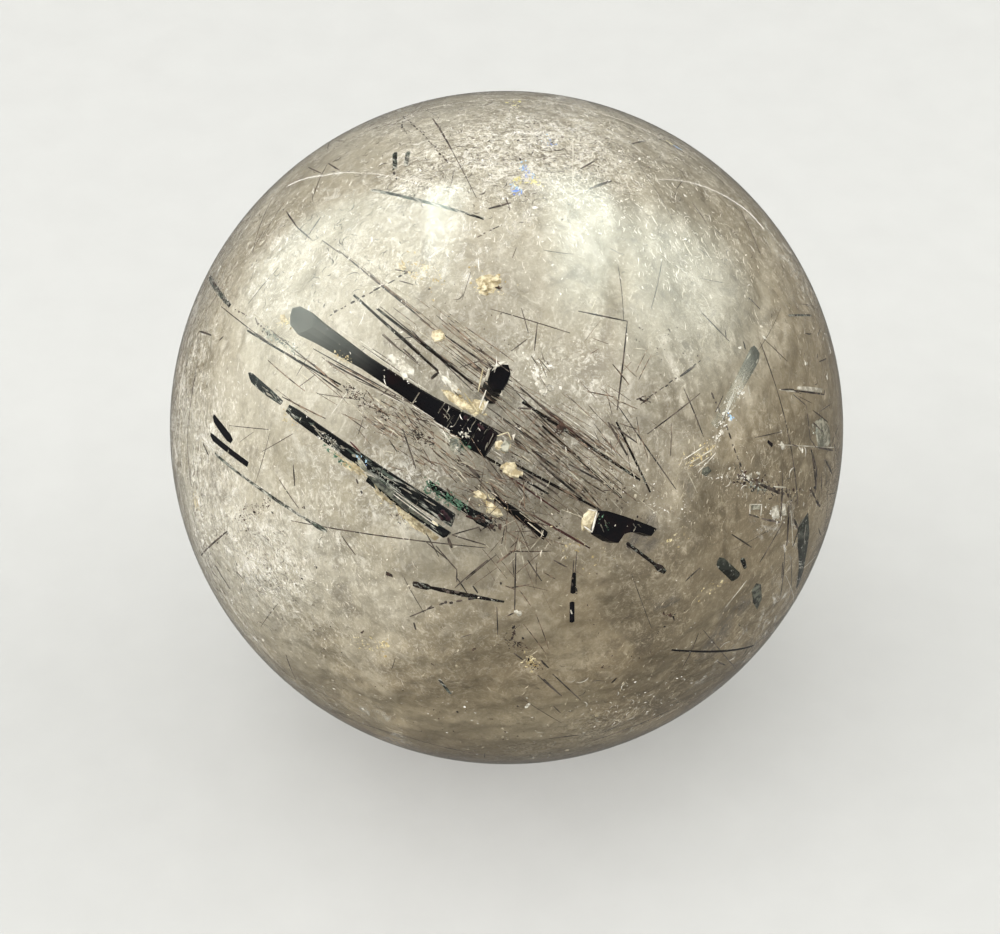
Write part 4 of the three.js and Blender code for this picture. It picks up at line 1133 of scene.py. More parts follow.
STREWN = {
    "gold_chips": ((0.5, 0.38, 0.17), (0.88, 0.79, 0.5), "iron_stain", [
        (447, 388, 482, 413, 5.0, 60, 3.0, 3.4, 0.25), (476, 282, 500, 288, 7.0, 70, 2.2, 2.2, 0.25),
        (480, 494, 498, 512, 5.0, 40, 4.2, 4.2, 0.25), (381, 643, 386, 645, 2.5, 30, 2.0, 2.0, 0.3),
        (354, 640, 385, 652, 3.5, 40, 1.8, 1.8, 0.25), (527, 660, 537, 665, 3.5, 50, 2.6, 2.6, 0.3),
        (195, 492, 197, 510, 2.0, 30, 1.2, 1.2, 0.3), (280, 322, 296, 322, 3.0, 30, 1.0, 1.0, 0.25),
        (284, 412, 296, 424, 4.0, 50, 2.6, 2.6, 0.25), (682, 465, 712, 446, 4.0, 70, 3.2, 3.2, 0.3),
        (388, 502, 420, 526, 5.0, 60, 4.2, 4.2, 0.22), (334, 352, 352, 364, 2.0, 40, 2.2, 2.6, 0.2),
        (400, 255, 436, 285, 8.0, 80, 2.6, 2.8, 0.25), (560, 540, 600, 560, 8.0, 40, 4.2, 4.0, 0.22),
        (662, 544, 690, 528, 3.0, 24, 2.6, 2.6, 0.22), (698, 598, 726, 578, 3.0, 40, 2.6, 2.6, 0.22),
    ]),
    "bright_chips": ((0.68, 0.65, 0.55), (0.98, 0.97, 0.91), "milky_veil", [
        (389, 360, 413, 373, 5.0, 50, 2.4, 2.6, 0.2), (531, 360, 553, 388, 5.0, 90, 3.6, 3.8, 0.35),
        (181, 384, 183, 408, 2.5, 60, 0.9, 0.9, 0.35), (192, 500, 208, 556, 4.0, 150, 1.2, 1.0, 0.4),
        (240, 330, 300, 352, 5.0, 60, 1.8, 2.4, 0.25), (714, 445, 741, 384, 4.0, 110, 3.4, 2.8, 0.3),
        (772, 506, 779, 518, 3.0, 40, 2.4, 2.4, 0.35), (700, 470, 760, 484, 6.0, 60, 3.0, 2.8, 0.18),
        (640, 500, 690, 512, 10.0, 60, 3.4, 3.2, 0.18), (480, 130, 600, 130, 12.0, 160, 2.4, 2.4, 0.32),
        (320, 436, 336, 446, 2.5, 24, 2.0, 2.1, 0.22), (270, 555, 300, 590, 9.0, 60, 2.2, 2.2, 0.28),
        (225, 600, 250, 640, 8.0, 90, 1.4, 1.4, 0.3), (660, 660, 700, 640, 8.0, 16, 1.8, 1.8, 0.18),
        (450, 130, 650, 180, 24.0, 420, 2.4, 2.2, 0.2), (560, 460, 800, 620, 36.0, 140, 3.0, 2.4, 0.14),
        (222, 282, 230, 300, 1.6, 26, 1.0, 1.2, 0.22), (460, 433, 469, 436, 1.6, 40, 2.9, 3.0, 0.2),
        (270, 540, 340, 600, 26.0, 50, 2.2, 2.2, 0.18), (740, 478, 750, 474, 2.5, 24, 2.6, 2.6, 0.25),
        (330, 700, 560, 745, 18.0, 120, 1.4, 1.4, 0.18), (590, 720, 680, 690, 12.0, 120, 1.6, 1.6, 0.2),
    ]),
    "grey_chips": ((0.16, 0.18, 0.15), (0.52, 0.55, 0.46), "milky_veil", [
        (264, 331, 297, 352, 2.0, 170, 1.6, 2.2, 0.24), (747, 484, 770, 490, 2.2, 50, 2.6, 2.4, 0.25),
        (812, 424, 828, 446, 3.0, 60, 1.3, 1.2, 0.25), (455, 440, 457, 450, 3.0, 50, 4.2, 4.2, 0.24),
        (372, 470, 400, 492, 2.0, 60, 2.2, 2.4, 0.2),
    ]),
    # Green chips: green specks, and along the first line a painted green rainbow glint
    "green_chips_and_glint": ((0.03, 0.09, 0.05), (0.16, 0.34, 0.22), "tourmaline", [
        (425, 484, 464, 509, 3.0, 110, 4.6, 4.8, 0.35), (322, 446, 350, 467, 1.2, 30, 2.8, 3.0, 0.4),
        (598, 516, 612, 530, 3.0, 16, 2.3, 2.5, 0.2), (455, 442, 468, 448, 3.0, 40, 4.6, 4.6, 0.3),
    ]),
    # Blue and yellow chips: painted rainbow glints, the thin-film colour of cracks painted as the chips'
    # own colour
    "blue_glint_chips": ((0.24, 0.36, 0.8), (0.5, 0.78, 1.0), "quartz", [
        (729, 415, 733, 419, 1.2, 14, 2.4, 2.4, 0.3), (357, 457, 366, 469, 1.6, 16, 2.2, 2.4, 0.3),
        (521, 166, 528, 176, 2.4, 44, 1.8, 1.8, 0.3), (511, 186, 519, 192, 3.0, 34, 1.8, 1.8, 0.28),
        (675, 145, 680, 148, 1.4, 30, 0.9, 0.9, 0.3), (546, 140, 552, 146, 3.0, 14, 1.8, 1.8, 0.26),
    ]),
    "yellow_glint_chips": ((0.8, 0.74, 0.3), (1.0, 0.96, 0.6), "quartz", [
        (529, 181, 538, 183, 2.4, 40, 1.8, 1.8, 0.3), (513, 180, 519, 183, 2.4, 34, 1.8, 1.8, 0.28),
        (668, 138, 672, 142, 1.4, 24, 0.9, 0.9, 0.3), (512, 101, 520, 104, 3.0, 24, 1.0, 1.0, 0.3),
    ]),
    "iron_grains": ((0.015, 0.012, 0.012), (0.09, 0.05, 0.035), "iron_stain", [
        (517, 625, 512, 640, 1.4, 26, 2.6, 2.6, 0.28), (505, 640, 524, 646, 2.6, 50, 2.6, 2.6, 0.24),
        (236, 522, 268, 502, 4.0, 90, 2.0, 2.2, 0.25), (202, 560, 226, 532, 3.0, 50, 1.2, 1.8, 0.25),
        (788, 488, 796, 499, 3.0, 14, 1.8, 1.8, 0.35), (811, 490, 819, 503, 2.0, 16, 1.4, 1.4, 0.35),
        (500, 583, 501, 584, 0.8, 5, 3.6, 3.6, 0.3), (473, 649, 474, 650, 0.8, 5, 2.4, 2.4, 0.3),
        (433, 664, 434, 665, 0.8, 4, 1.8, 1.8, 0.28), (315, 566, 316, 567, 0.8, 5, 2.0, 2.0, 0.3),
        (387, 574, 388, 575, 0.9, 6, 2.4, 2.4, 0.32), (303, 507, 304, 508, 0.8, 5, 2.0, 2.0, 0.3),
        (248, 530, 249, 531, 0.8, 5, 1.6, 1.6, 0.3), (362, 632, 363, 633, 0.8, 5, 1.8, 1.8, 0.3),
        (347, 388, 366, 404, 3.2, 150, 3.2, 3.6, 0.2), (378, 408, 386, 418, 3.0, 50, 3.6, 3.8, 0.2),
        (409, 432, 433, 445, 3.6, 110, 3.8, 4.2, 0.2), (366, 402, 420, 420, 7.0, 60, 3.6, 4.2, 0.16),
        (760, 486, 780, 492, 2.0, 24, 2.3, 2.2, 0.26),
        (385, 400, 410, 430, 8.0, 30, 3.6, 3.8, 0.18), (395, 430, 430, 450, 9.0, 30, 4.0, 4.2, 0.18),
        (735, 477, 785, 492, 5.0, 90, 3.0, 2.6, 0.3), (664, 614, 674, 617, 2.0, 14, 1.8, 1.8, 0.35),
        (604, 667, 607, 668, 1.5, 6, 2.0, 2.0, 0.4), (396, 514, 405, 523, 3.0, 24, 3.8, 3.8, 0.22),
        (640, 396, 648, 401, 2.2, 26, 3.0, 3.0, 0.3), (557, 427, 563, 434, 2.0, 26, 4.4, 4.4, 0.35),
        (478, 519, 492, 528, 3.0, 60, 4.4, 4.4, 0.4), (497, 287, 499, 288, 1.2, 8, 2.0, 2.0, 0.45),
        (600, 470, 640, 520, 10.0, 60, 5.0, 4.6, 0.22), (640, 330, 690, 360, 12.0, 40, 3.0, 3.0, 0.2),
        (512, 130, 560, 140, 10.0, 60, 2.0, 2.0, 0.24), (420, 300, 520, 340, 16.0, 40, 3.2, 3.4, 0.18),
        (250, 560, 330, 640, 20.0, 60, 1.8, 1.8, 0.2), (490, 500, 560, 520, 14.0, 80, 5.0, 5.4, 0.2),
        (450, 120, 650, 185, 20.0, 170, 2.4, 2.2, 0.2), (527, 658, 538, 668, 3.0, 36, 2.2, 2.2, 0.26),
        (209, 277, 218, 290, 1.2, 60, 0.3, 0.5, 0.26), (218, 290, 229, 305, 1.4, 40, 0.5, 1.0, 0.2),
        (252, 265, 253, 266, 0.7, 5, 1.2, 1.2, 0.3), (263, 331, 270, 336, 1.2, 16, 1.4, 1.6, 0.24),
        (330, 700, 560, 745, 18.0, 60, 1.4, 1.4, 0.2), (600, 600, 700, 700, 24.0, 50, 2.0, 2.0, 0.2),
    ]),
}


# Stained and milky lumps beside the crystals: middle pixel, length and width in pixels, turn on the
# picture in degrees, and depth in millimetres

CREAM_LUMPS = [
    (437, 336, 13, 11, 60, 2.4), (503, 447, 13, 12, -50, 4.3), (508, 468, 14, 11, 20, 4.3),
    (514, 474, 12, 8, 20, 4.4), (478, 406, 15, 12, 60, 4.0), (464, 404, 26, 8, 38, 3.8),
    (453, 397, 22, 8, 34, 3.8), (474, 410, 12, 6, 42, 3.9), (480, 495, 14, 7, 30, 4.6),
    (493, 511, 17, 10, 40, 4.6), (587, 520, 20, 11, 108, 2.8), (481, 286, 11, 10, 0, 2.2),
    (288, 319, 16, 10, 40, 1.2), (350, 466, 24, 5, 38, 3.2),
    (385, 498, 26, 4, 42, 4.0), (418, 527, 28, 5, 38, 4.2), (196, 503, 5, 12, 0, 1.0),
    (490, 281, 12, 9, 20, 2.2), (486, 293, 13, 6, 0, 2.2), (498, 279, 8, 8, 0, 2.2),
    (289, 409, 7, 5, 30, 2.6), (356, 466, 20, 3, 36, 3.2), (412, 512, 12, 4, 40, 4.4),
    (403, 268, 9, 5, 30, 2.6), (414, 277, 7, 5, 0, 2.6), (424, 268, 8, 4, -30, 2.6),
]
MILKY_LUMPS = [
    (400, 366, 24, 10, 40, 2.8), (392, 359, 14, 7, 20, 2.8), (447, 382, 24, 6, 44, 3.4),
    (487, 376, 16, 4, -60, 4.5), (497, 365, 14, 4, -32, 4.5), (547, 379, 12, 8, 20, 3.6),
    (539, 385, 8, 7, 40, 3.6), (543, 391, 9, 6, 0, 3.7), (549, 388, 8, 5, 60, 3.6),
    (456, 446, 16, 9, 70, 4.4), (181, 400, 14, 4, 84, 1.0), (448, 433, 10, 6, 20, 4.3),
    (184, 386, 10, 3, 84, 1.0), (776, 512, 12, 7, 88, 2.4), (783, 509, 11, 5, 88, 2.2),
    (806, 362, 6, 4, 80, 1.4), (782, 444, 8, 7, 0, 2.0), (801, 449, 7, 4, 60, 1.6),
    (827, 376, 6, 3, 80, 0.9), (740, 347, 4, 4, 0, 2.4), (764, 338, 6, 3, 40, 2.0),
    (750, 477, 5, 5, 0, 2.6), (759, 473, 5, 4, 0, 2.5), (518, 613, 7, 6, 0, 3.4),
    (528, 706, 5, 5, 0, 2.0), (301, 568, 9, 5, 60, 2.0), (300, 586, 9, 6, 10, 2.0),
    (321, 543, 9, 5, 60, 2.4), (194, 481, 8, 6, 70, 1.0), (208, 518, 20, 5, 76, 1.2),
    (253, 266, 9, 8, 0, 1.6), (258, 262, 5, 3, -40, 1.6), (254, 272, 6, 3, 80, 1.6),
]


BLOCKS_IN_A_LUMP = 5

# Flat crystals and fillings: the pixels of their outlines, clockwise, and the depth of their faces

CREAM_PLATES = [
    ([(441, 390), (450, 391), (459, 396), (472, 408), (479, 413), (462, 409), (450, 400)], 3.6),
    ([(474, 399), (487, 402), (482, 413), (474, 411), (470, 405)], 4.1),
    ([(502, 465), (507, 462), (519, 470), (518, 477), (511, 478), (503, 472)], 4.2),
    ([(432, 331), (440, 330), (443, 334), (442, 341), (434, 342), (431, 337)], 2.3),
    ([(475, 281), (480, 276), (490, 274), (498, 279), (499, 287), (492, 293), (481, 291)], 2.3),
    ([(485, 505), (492, 503), (500, 509), (503, 516), (497, 518), (489, 513)], 4.5),
    ([(472, 492), (479, 490), (488, 496), (486, 500), (478, 498)], 4.4),
    ([(583, 515), (589, 510), (597, 512), (594, 522), (590, 532), (582, 527)], 2.7),
    ([(340, 458), (349, 463), (356, 470), (352, 472), (343, 465)], 3.3),
    ([(394, 502), (408, 512), (440, 537), (436, 541), (418, 530), (400, 515)], 4.6),
]
MILKY_PLATES = [
    ([(389, 357), (397, 356), (406, 362), (414, 370), (413, 377), (404, 375), (394, 368)], 2.8),
    ([(441, 376), (447, 376), (456, 386), (462, 394), (458, 395), (449, 386)], 3.4),
    ([(541, 379), (545, 375), (552, 377), (553, 384), (548, 386), (543, 383)], 3.5),
    ([(536, 384), (541, 382), (543, 386), (539, 389)], 3.5),
    ([(540, 389), (547, 387), (549, 392), (543, 395), (539, 393)], 3.6),
    ([(797, 386), (809, 386), (822, 388), (822, 392), (808, 391), (797, 389)], 1.5),
    ([(772, 506), (779, 505), (780, 517), (773, 518)], 2.3),
    ([(781, 502), (786, 503), (787, 515), (782, 515)], 2.2),
]
GREY_PLATES = [
    ([(815, 420), (822, 417), (829, 425), (830, 440), (828, 446), (818, 446), (816, 432)], 1.3),
    ([(451, 438), (456, 435), (460, 440), (461, 449), (457, 454), (451, 450), (449, 443)], 4.3),
    ([(443, 430), (456, 436), (448, 442)], 4.2), ([(496, 448), (505, 440), (511, 443), (507, 454)], 4.0),
    ([(357, 459), (362, 460), (366, 467), (368, 473), (363, 470), (358, 464)], 1.4),
    ([(751, 505), (760, 504), (761, 509), (752, 510)], 2.6),
]
DARK_PLATES = [
    ([(366, 474), (376, 478), (404, 498), (436, 522), (431, 527), (400, 506), (376, 486)], 3.1),
    ([(702, 468), (708, 466), (711, 470), (706, 477), (702, 474)], 3.6),
    ([(752, 590), (756, 583), (761, 584), (762, 598), (757, 609), (753, 602)], 2.6),
]


LUMP_LOOKS = {
    "cream_lumps": (CREAM_LUMPS, CREAM_PLATES, (0.5, 0.41, 0.24), (0.86, 0.78, 0.55), "iron_stain"),
    "milky_lumps": (MILKY_LUMPS, MILKY_PLATES, (0.5, 0.47, 0.38), (0.86, 0.84, 0.74), "milky_veil"),
    "grey_plates": ([], GREY_PLATES, (0.2, 0.2, 0.15), (0.56, 0.55, 0.44), "milky_veil"),
    "dark_plates": ([], DARK_PLATES, (0.03, 0.032, 0.028), (0.2, 0.21, 0.16), "tourmaline"),
}


def add_plate(parts, outline, depth, rng):
    """A flat crystal with slanting edges, whose face to the eye has the outline."""
    x_middle = sum(x for x, _ in outline) / len(outline)
    y_middle = sum(y for _, y in outline) / len(outline)
    points = []
    for inset, level in ((0.28, 0), (0, 0.18), (0.25, 0.5)):
        for x, y in outline:
            x += (x_middle - x) * inset + rng.uniform(-0.7, 0.7)
            y += (y_middle - y) * inset + rng.uniform(-0.7, 0.7)
            points.append(seen(x, y, depth + level + rng.uniform(-0.08, 0.08)))
    parts.add(points, ring_faces(len(outline), 3))


def add_lumps(parts, lumps, rng):
    """Lumps of small flat crystals that have grown into each other."""
    for x, y, length, width, turn, depth in lumps:
        run = math.radians(turn)
        for _ in range(BLOCKS_IN_A_LUMP):
            forward = rng.uniform(-0.34, 0.34) * length
            aside = rng.uniform(-0.34, 0.34) * width
            place = seen(x + forward * math.cos(run) - aside * math.sin(run),
                         y + forward * math.sin(run) + aside * math.cos(run), depth + rng.uniform(0, 0.3))
            angle = run + rng.uniform(-0.5, 0.5)
            heading = ACROSS * math.cos(angle) - UPWARD * math.sin(angle)
            facing = (TO_EYE + random_direction(rng) * 0.3).normalized()
            size = rng.uniform(0.5, 0.95) * PIXEL
            parts.block(place, facing, heading, length * size, width * size, width * size * 0.6, rng)


HIDDEN_LUMP_SIZE = (0.5 * MM, 1.5 * MM)


def add_hidden_lumps(parts, rng):
    """Lumps at the upper ends of some crystals that the photo doesn't show."""
    for name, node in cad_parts.items():
        if not name.startswith("hidden_rod") or rng.random() < 0.4:
            continue
        tip = max((vertex.co for vertex in node.data.vertices), key=lambda place: place.z)
        outward = (tip - CENTRE).normalized()
        for _ in range(BLOCKS_IN_A_LUMP):
            length = rng.uniform(*HIDDEN_LUMP_SIZE)
            facing = (outward + random_direction(rng) * 0.3).normalized()
            reach = tip - CENTRE + random_direction(rng) * rng.uniform(0.3, 1) * MM - outward * 0.8 * MM
            place = CENTRE + reach.normalized() * min(reach.length, BALL_RADIUS - length)
            parts.block(place, facing, random_direction(rng), length, length * 0.6, length * 0.4, rng)


def make_lumps():
    rng = random.Random(71)
    for name, (lumps, plates, dark, pale, slot) in LUMP_LOOKS.items():
        parts = MeshParts()
        add_lumps(parts, lumps, rng)
        for outline, depth in plates:
            add_plate(parts, outline, depth, rng)
        if lumps:
            add_hidden_lumps(parts, rng)
        parts.piece(name, grain_material(name, dark, pale, 0.4, 2000), slot)


def make_strewn_chips():
    rng = random.Random(53)
    for name, (dark, pale, slot, lines) in STREWN.items():
        parts = MeshParts()
        for x_start, y_start, x_end, y_end, spread, count, depth_start, depth_end, size in lines:
            heading = seen(x_end, y_end, depth_end) - seen(x_start, y_start, depth_start)
            heading.normalize()
            for _ in range(count):
                share = rng.random()
                x = x_start + (x_end - x_start) * share + rng.gauss(0, spread)
                y = y_start + (y_end - y_start) * share + rng.gauss(0, spread)
                depth = depth_start + (depth_end - depth_start) * share + rng.uniform(-0.4, 0.4)
                facing = (TO_EYE + random_direction(rng) * 0.7).normalized()
                length = size * MM * math.exp(rng.gauss(0, 0.4))
                drawn = (heading + random_direction(rng) * 0.8).normalized()
                parts.chip(seen(*within_disc(x, y), max(0.4, depth)), facing, drawn, length,
                           length * rng.uniform(0.35, 0.8), length * 0.12, rng)
        parts.piece(name, grain_material(name, dark, pale, 0.3), slot)


# Lines on the faces of the rods that the eye sees: the pixels that each runs through, and its width
# in pixels

PALE_CRACKS = {
    "great_rod": [
        ([(452, 406), (448, 410), (446, 413)], 1.2), ([(443, 408), (447, 413), (453, 421)], 0.8),
        ([(443, 414), (447, 418), (452, 424)], 0.8), ([(447, 413), (444, 418)], 0.6),
        ([(450, 417), (447, 422)], 0.6), ([(458, 433), (464, 434), (470, 437)], 1.6),
        ([(462, 412), (459, 417), (456, 423), (453, 427)], 0.8), ([(461, 411), (465, 413)], 1.5),
        ([(476, 417), (475, 422), (472, 425), (470, 430)], 0.7),
        ([(483, 420), (480, 425), (475, 432), (473, 438)], 0.8),
        ([(489, 426), (485, 432), (482, 440)], 0.5), ([(494, 432), (491, 439), (487, 447)], 0.6),
        ([(488, 442), (485, 450)], 1.0), ([(318, 326), (317, 332)], 0.4), ([(324, 333), (325, 338)], 0.4),
    ],
    "long_rod": [
        ([(312, 425), (318, 431), (326, 434)], 1.6), ([(315, 429), (321, 437), (329, 440)], 1.2),
        ([(330, 441), (336, 445)], 3.4), ([(340, 446), (345, 449)], 1.8),
        ([(352, 455), (359, 458), (364, 466)], 2.6), ([(355, 462), (362, 467), (366, 473)], 1.8),
        ([(371, 467), (377, 470), (379, 475)], 1.0), ([(383, 476), (392, 481)], 1.4),
        ([(400, 487), (412, 494)], 1.2), ([(405, 484), (416, 492)], 0.8),
        ([(424, 499), (436, 506)], 0.9),
    ],
    "long_rod_top": [
        ([(262, 387), (268, 392)], 1.4), ([(266, 393), (273, 398)], 1.8), ([(271, 392), (277, 400)], 1.2),
    ],
    "twin_rod": [
        ([(392, 494), (414, 508), (437, 525)], 1.0), ([(384, 489), (402, 501)], 0.7),
        ([(404, 506), (424, 520)], 0.9),
    ],
    "dark_chunk": [
        ([(633, 523), (636, 527), (634, 531)], 1.4), ([(638, 524), (641, 527)], 1.2),
        ([(605, 520), (607, 528)], 1.6), ([(601, 524), (604, 532)], 1.2),
    ],
    "right_wedge": [([(801, 526), (798, 538), (796, 546)], 1.0), ([(806, 524), (804, 545)], 1.2)],
}
MAROON_STREAKS = {
    "long_rod": [([(441, 510), (447, 516), (450, 521)], 4.0), ([(438, 514), (444, 521)], 3.0)],
    "twin_rod": [([(418, 508), (427, 516), (434, 523)], 1.2)],
    "great_rod": [([(464, 416), (470, 421)], 4.0), ([(478, 424), (484, 430)], 4.0)],
}


FACE_LINE_LOOKS = {
    "crack_fillings": (PALE_CRACKS, (0.14, 0.13, 0.1), (0.42, 0.39, 0.31), "milky_veil"),
    "maroon_streaks": (MAROON_STREAKS, (0.014, 0.005, 0.009), (0.032, 0.009, 0.013), "tourmaline"),
}


def add_face_line(parts, tree, pixels, width, rng):
    """A line that lies on a crystal's faces. It follows them between its pixels."""
    steps = 4
    path = []
    for (x_start, y_start), (x_end, y_end) in zip(pixels, pixels[1:]):
        for k in range(steps):
            share = k / steps
            path.append((x_start + (x_end - x_start) * share, y_start + (y_end - y_start) * share))
    path.append(pixels[-1])
    places = []
    for x, y in path:
        entry, bent = refracted(x + rng.uniform(-0.3, 0.3), y + rng.uniform(-0.3, 0.3))
        hit = tree.ray_cast(entry, bent)[0]
        if hit is None:
            hit = tree.find_nearest(entry + bent * 3 * MM)[0]
        places.append(hit - bent * width * PIXEL * 0.15)
    widths = [width * PIXEL * rng.uniform(0.6, 1.2) for _ in places]
    widths[0] *= 0.4
    widths[-1] *= 0.4
    parts.prism(places, widths, sides=4)


def make_face_lines():
    rng = random.Random(61)
    for name, (table, dark, pale, slot) in FACE_LINE_LOOKS.items():
        parts = MeshParts()
        for node_name, lines in table.items():
            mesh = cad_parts[node_name].data
            tree = BVHTree.FromPolygons([v.co for v in mesh.vertices],
                                        [tuple(p.vertices) for p in mesh.polygons])
            for pixels, width in lines:
                add_face_line(parts, tree, pixels, width, rng)
        parts.piece(name, grain_material(name, dark, pale, 0.4), slot)


# Materials of the frame's crystals

# Crystals by how they look: the names, the dark colour, the tint, how much pale streaking, as wear and
# painted sheen, and how finely so

CRYSTAL_LOOKS = {
    "sheen_and_wear_tourmaline": (("long_rod", "long_rod_top", "twin_rod", "green_rod", "right_shard"),
                        (0.006, 0.007, 0.008), (0.03, 0.032, 0.028), 1.1, 2800),
    "speckled_tourmaline": (("upper_left_block", "upper_right_block", "upper_needle", "left_edge_rod",
                             "beaded_needle", "right_needle", "lower_splinter"),
                            (0.026, 0.025, 0.022), (0.1, 0.095, 0.08), 1.9, 4200),
    "smoky_tourmaline": (("right_block", "right_wedge"),
                         (0.05, 0.055, 0.045), (0.2, 0.21, 0.17), 1, 2400),
    "brown_tourmaline_rods": (("bundle_needle_", "lower_rod", "drop_needle"),
                              (0.016, 0.012, 0.011), (0.1, 0.075, 0.06), 1.1, 4200),
}


def dress_crystals():
    axis = (seen(492, 444, 5) - seen(298, 318, 0)).normalized()
    black = tourmaline_material("black_tourmaline", axis, (0.004, 0.004, 0.006), (0.012, 0.006, 0.007), 0)
    special = {
        "great_rod": great_rod_material(axis, seen(300, 320, 0)),
        "smoky_rod": smoky_rod_material((seen(757, 352, 2) - seen(720, 415, 4)).normalized(),
                                        seen(757, 354, 2)),
    }
    looks = [(starts, tourmaline_material(name, axis, *values))
             for name, (starts, *values) in CRYSTAL_LOOKS.items()]
    for name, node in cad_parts.items():
        if name.startswith("quartz"):
            continue
        material = special.get(name, black)
        for starts, look in looks:
            if name in starts or name.rstrip("0123456789") in starts:
                material = look
        node.data.materials.clear()
        node.data.materials.append(material)


# Stage: floor, lights and camera

FLOOR_REACH = 3.0


def make_floor():
    corners = [(-FLOOR_REACH, -FLOOR_REACH, 0), (FLOOR_REACH, -FLOOR_REACH, 0),
               (FLOOR_REACH, FLOOR_REACH, 0), (-FLOOR_REACH, FLOOR_REACH, 0)]
    mesh = bpy.data.meshes.new("floor")
    mesh.from_pydata(corners, [], [(0, 1, 2, 3)])
    mesh.materials.append(floor_material())
    floor = bpy.data.objects.new("floor", mesh)
    bpy.context.scene.collection.objects.link(floor)
    floor.visible_glossy = False


def area_light(name, place, rotation, width, height, power):
    data = bpy.data.lights.new(name, "AREA")
    data.shape = "RECTANGLE"
    data.size = width
    data.size_y = height
    data.energy = power
    light = bpy.data.objects.new(name, data)
    light.location = place
    light.rotation_mode = "QUATERNION"
    light.rotation_quaternion = rotation
    bpy.context.scene.collection.objects.link(light)
    return light


def soften(light, left, right, bottom, top):
    """Fades a lamp towards its sides, over the shares of it that are given."""
    light.data.use_nodes = True
    tree = light.data.node_tree
    parts = tree.nodes.new("ShaderNodeSeparateXYZ")
    link(tree, tree.nodes.new("ShaderNodeNewGeometry").outputs["Parametric"], parts.inputs["Vector"])
    strength = None
    for axis, low, high in (("X", left, right), ("Y", bottom, top)):
        for start, end in ((0, low), (1, 1 - high)):
            fade = remap(tree, parts.outputs[axis], start, end)
            strength = fade if strength is None else maths(tree, "MULTIPLY", strength, fade)
    link(tree, strength, tree.nodes["Emission"].inputs["Strength"])


def turned(side, towards):
    """The rotation of a lamp that lies towards a direction, shines back, and is level with side."""
    return Matrix((side, towards.cross(side), towards)).transposed().to_quaternion()


def only_mirror(light):
    """Lets a lamp be seen in polish and light nothing else."""
    light.visible_diffuse = False
    light.visible_transmission = False


WINDOW_DISTANCE = 0.9
WINDOW_COLOUR = (0.9, 1.0, 0.9)


def make_window(name, left, top, right, bottom, radiance, fades):
    """A soft window that the polish mirrors between the given pixels, and that lights nothing else."""
    x = (left + right) / 2
    y = (top + bottom) / 2
    towards = mirrored(x, y)
    step = 2
    level = (mirrored(x + step, y) - mirrored(x - step, y)) / (2 * step)
    upright = (mirrored(x, y - step) - mirrored(x, y + step)) / (2 * step)
    width = level.length * (right - left) * WINDOW_DISTANCE
    height = upright.length * (bottom - top) * WINDOW_DISTANCE
    side = upright.cross(towards).normalized()
    light = area_light(name, CENTRE + towards * WINDOW_DISTANCE, turned(side, towards), width, height,
                       radiance * math.pi * width * height)
    soften(light, *fades)
    light.data.color = WINDOW_COLOUR
    only_mirror(light)


def make_strip(name, pixels, width, radiance):
    """The bright edge of a window: a run of narrow lamps that the polish mirrors along the pixels."""
    for number, ((x_start, y_start), (x_end, y_end)) in enumerate(zip(pixels, pixels[1:])):
        first = mirrored(x_start, y_start)
        last = mirrored(x_end, y_end)
        towards = (first + last).normalized()
        side = (last - first).normalized()
        x = (x_start + x_end) / 2
        y = (y_start + y_end) / 2
        run = math.hypot(x_end - x_start, y_end - y_start)
        pixel_aside = mirrored(x + (y_end - y_start) / run, y - (x_end - x_start) / run)
        beside = abs((pixel_aside - mirrored(x, y)).dot(side.cross(towards)))
        length = (last - first).length * WINDOW_DISTANCE
        height = beside * width * WINDOW_DISTANCE
        only_mirror(area_light(f"{name}_{number}", CENTRE + towards * WINDOW_DISTANCE,
                               turned(side, towards), length, height,
                               radiance * math.pi * length * height))


PANEL_DISTANCE = 0.8
PANEL_SIZE = 0.6
WORLD_STRENGTH = 1.3
MIRRORED_WORLD_STRENGTH = 0.16
WORLD_COLOUR = (1.0, 0.98, 0.95, 1)

# Panels that light the ball and that the polish doesn't mirror: direction and watts

PANELS = {
    "key_panel": (ACROSS * -0.16 + UPWARD * 0.68 + TO_EYE * 0.66, 6.1),
    "left_panel": (ACROSS * -0.9 + UPWARD * 0.25 + TO_EYE * 0.3, 8.2),
    "right_panel": (ACROSS * 0.9 + UPWARD * 0.45 + TO_EYE * 0.25, 6.2),
}

# Windows that the polish mirrors: the left, top, right and bottom pixel, the radiance, and the
# shares of each over which it fades at the left, right, bottom and top

WINDOWS = {
    "left_window": (215, 170, 430, 420, 3.1, (0.4, 0.1, 0.6, 0.2)),
    "left_stripe": (420, 160, 474, 340, 5.6, (0.25, 0.6, 0.8, 0.2)),
    "right_stripe": (530, 138, 624, 356, 7.0, (0.5, 0.3, 0.5, 0.3)),
    "right_window": (612, 180, 776, 430, 4.9, (0.2, 0.7, 0.6, 0.35)),
}

# Bright edges of windows: the pixels that each runs through, its width in pixels and its radiance

WINDOW_EDGES = {
    "left_arc": (((288, 188), (325, 178), (360, 176), (392, 180), (420, 188)), 1.2, 2.6),
    "right_arc": (((655, 182), (690, 185), (722, 197), (748, 214), (762, 230)), 1.1, 2.4),
}


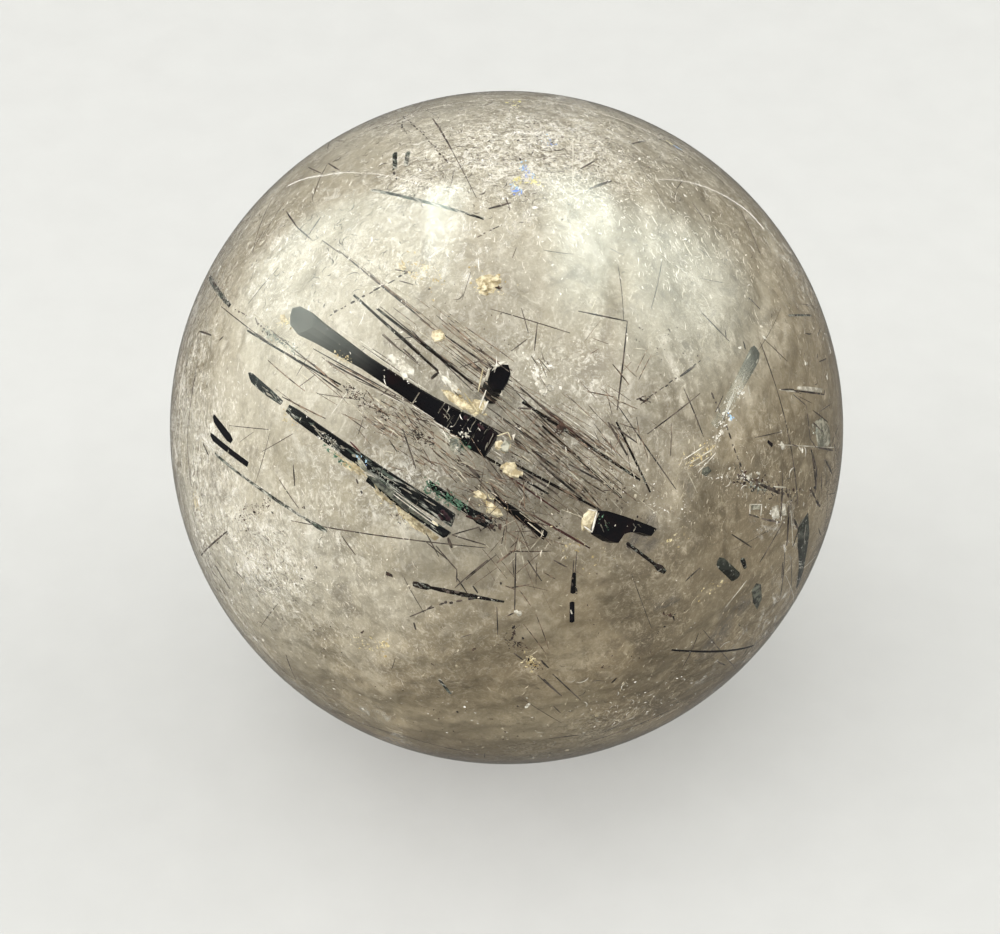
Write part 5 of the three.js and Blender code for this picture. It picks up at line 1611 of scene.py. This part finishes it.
def make_lights():
    for name, (direction, power) in PANELS.items():
        direction.normalize()
        panel = area_light(name, CENTRE + direction * PANEL_DISTANCE, direction.to_track_quat("Z", "Y"),
                           PANEL_SIZE, PANEL_SIZE, power)
        panel.visible_glossy = False
        panel.visible_transmission = False
    for name, values in WINDOWS.items():
        make_window(name, *values)
    for name, values in WINDOW_EDGES.items():
        make_strip(name, *values)
    world = bpy.data.worlds.new("studio")
    world.use_nodes = True
    tree = world.node_tree
    background = tree.nodes["Background"]
    background.inputs["Color"].default_value = WORLD_COLOUR
    mirrors = tree.nodes.new("ShaderNodeLightPath").outputs["Is Glossy Ray"]
    link(tree, remap(tree, mirrors, 0, 1, WORLD_STRENGTH, MIRRORED_WORLD_STRENGTH),
         background.inputs["Strength"])
    bpy.context.scene.world = world


SENSOR_WIDTH = 36


def make_camera():
    focal_pixels = DISC_RADIUS * RIM_DISTANCE / BALL_RADIUS
    data = bpy.data.cameras.new("camera")
    data.sensor_width = SENSOR_WIDTH
    data.lens = focal_pixels / FRAME_WIDTH * SENSOR_WIDTH
    data.clip_start = 0.01
    data.clip_end = 20
    camera = bpy.data.objects.new("camera", data)
    camera.location = CENTRE + TO_EYE * VIEW_DISTANCE
    per_pixel = VIEW_DISTANCE / focal_pixels
    right = DISC_X - FRAME_WIDTH / 2
    up = FRAME_HEIGHT / 2 - DISC_Y
    aim = CENTRE - (ACROSS * right + UPWARD * up) * per_pixel
    camera.rotation_mode = "QUATERNION"
    camera.rotation_quaternion = (aim - camera.location).to_track_quat("-Z", "Y")
    bpy.context.scene.collection.objects.link(camera)
    bpy.context.scene.camera = camera


def set_render():
    scene = bpy.context.scene
    scene.view_settings.view_transform = "Standard"
    scene.cycles.caustics_reflective = False
    scene.cycles.caustics_refractive = False
    scene.cycles.max_bounces = 9
    scene.cycles.transmission_bounces = 8
    scene.cycles.transparent_max_bounces = 14
    scene.cycles.diffuse_bounces = 2


make_ball()
make_cloud()
make_veils()
make_flecks()
make_curls()
make_needles()
make_lumps()
make_strewn_chips()
make_face_lines()
dress_crystals()
make_floor()
make_lights()
make_camera()
set_render()
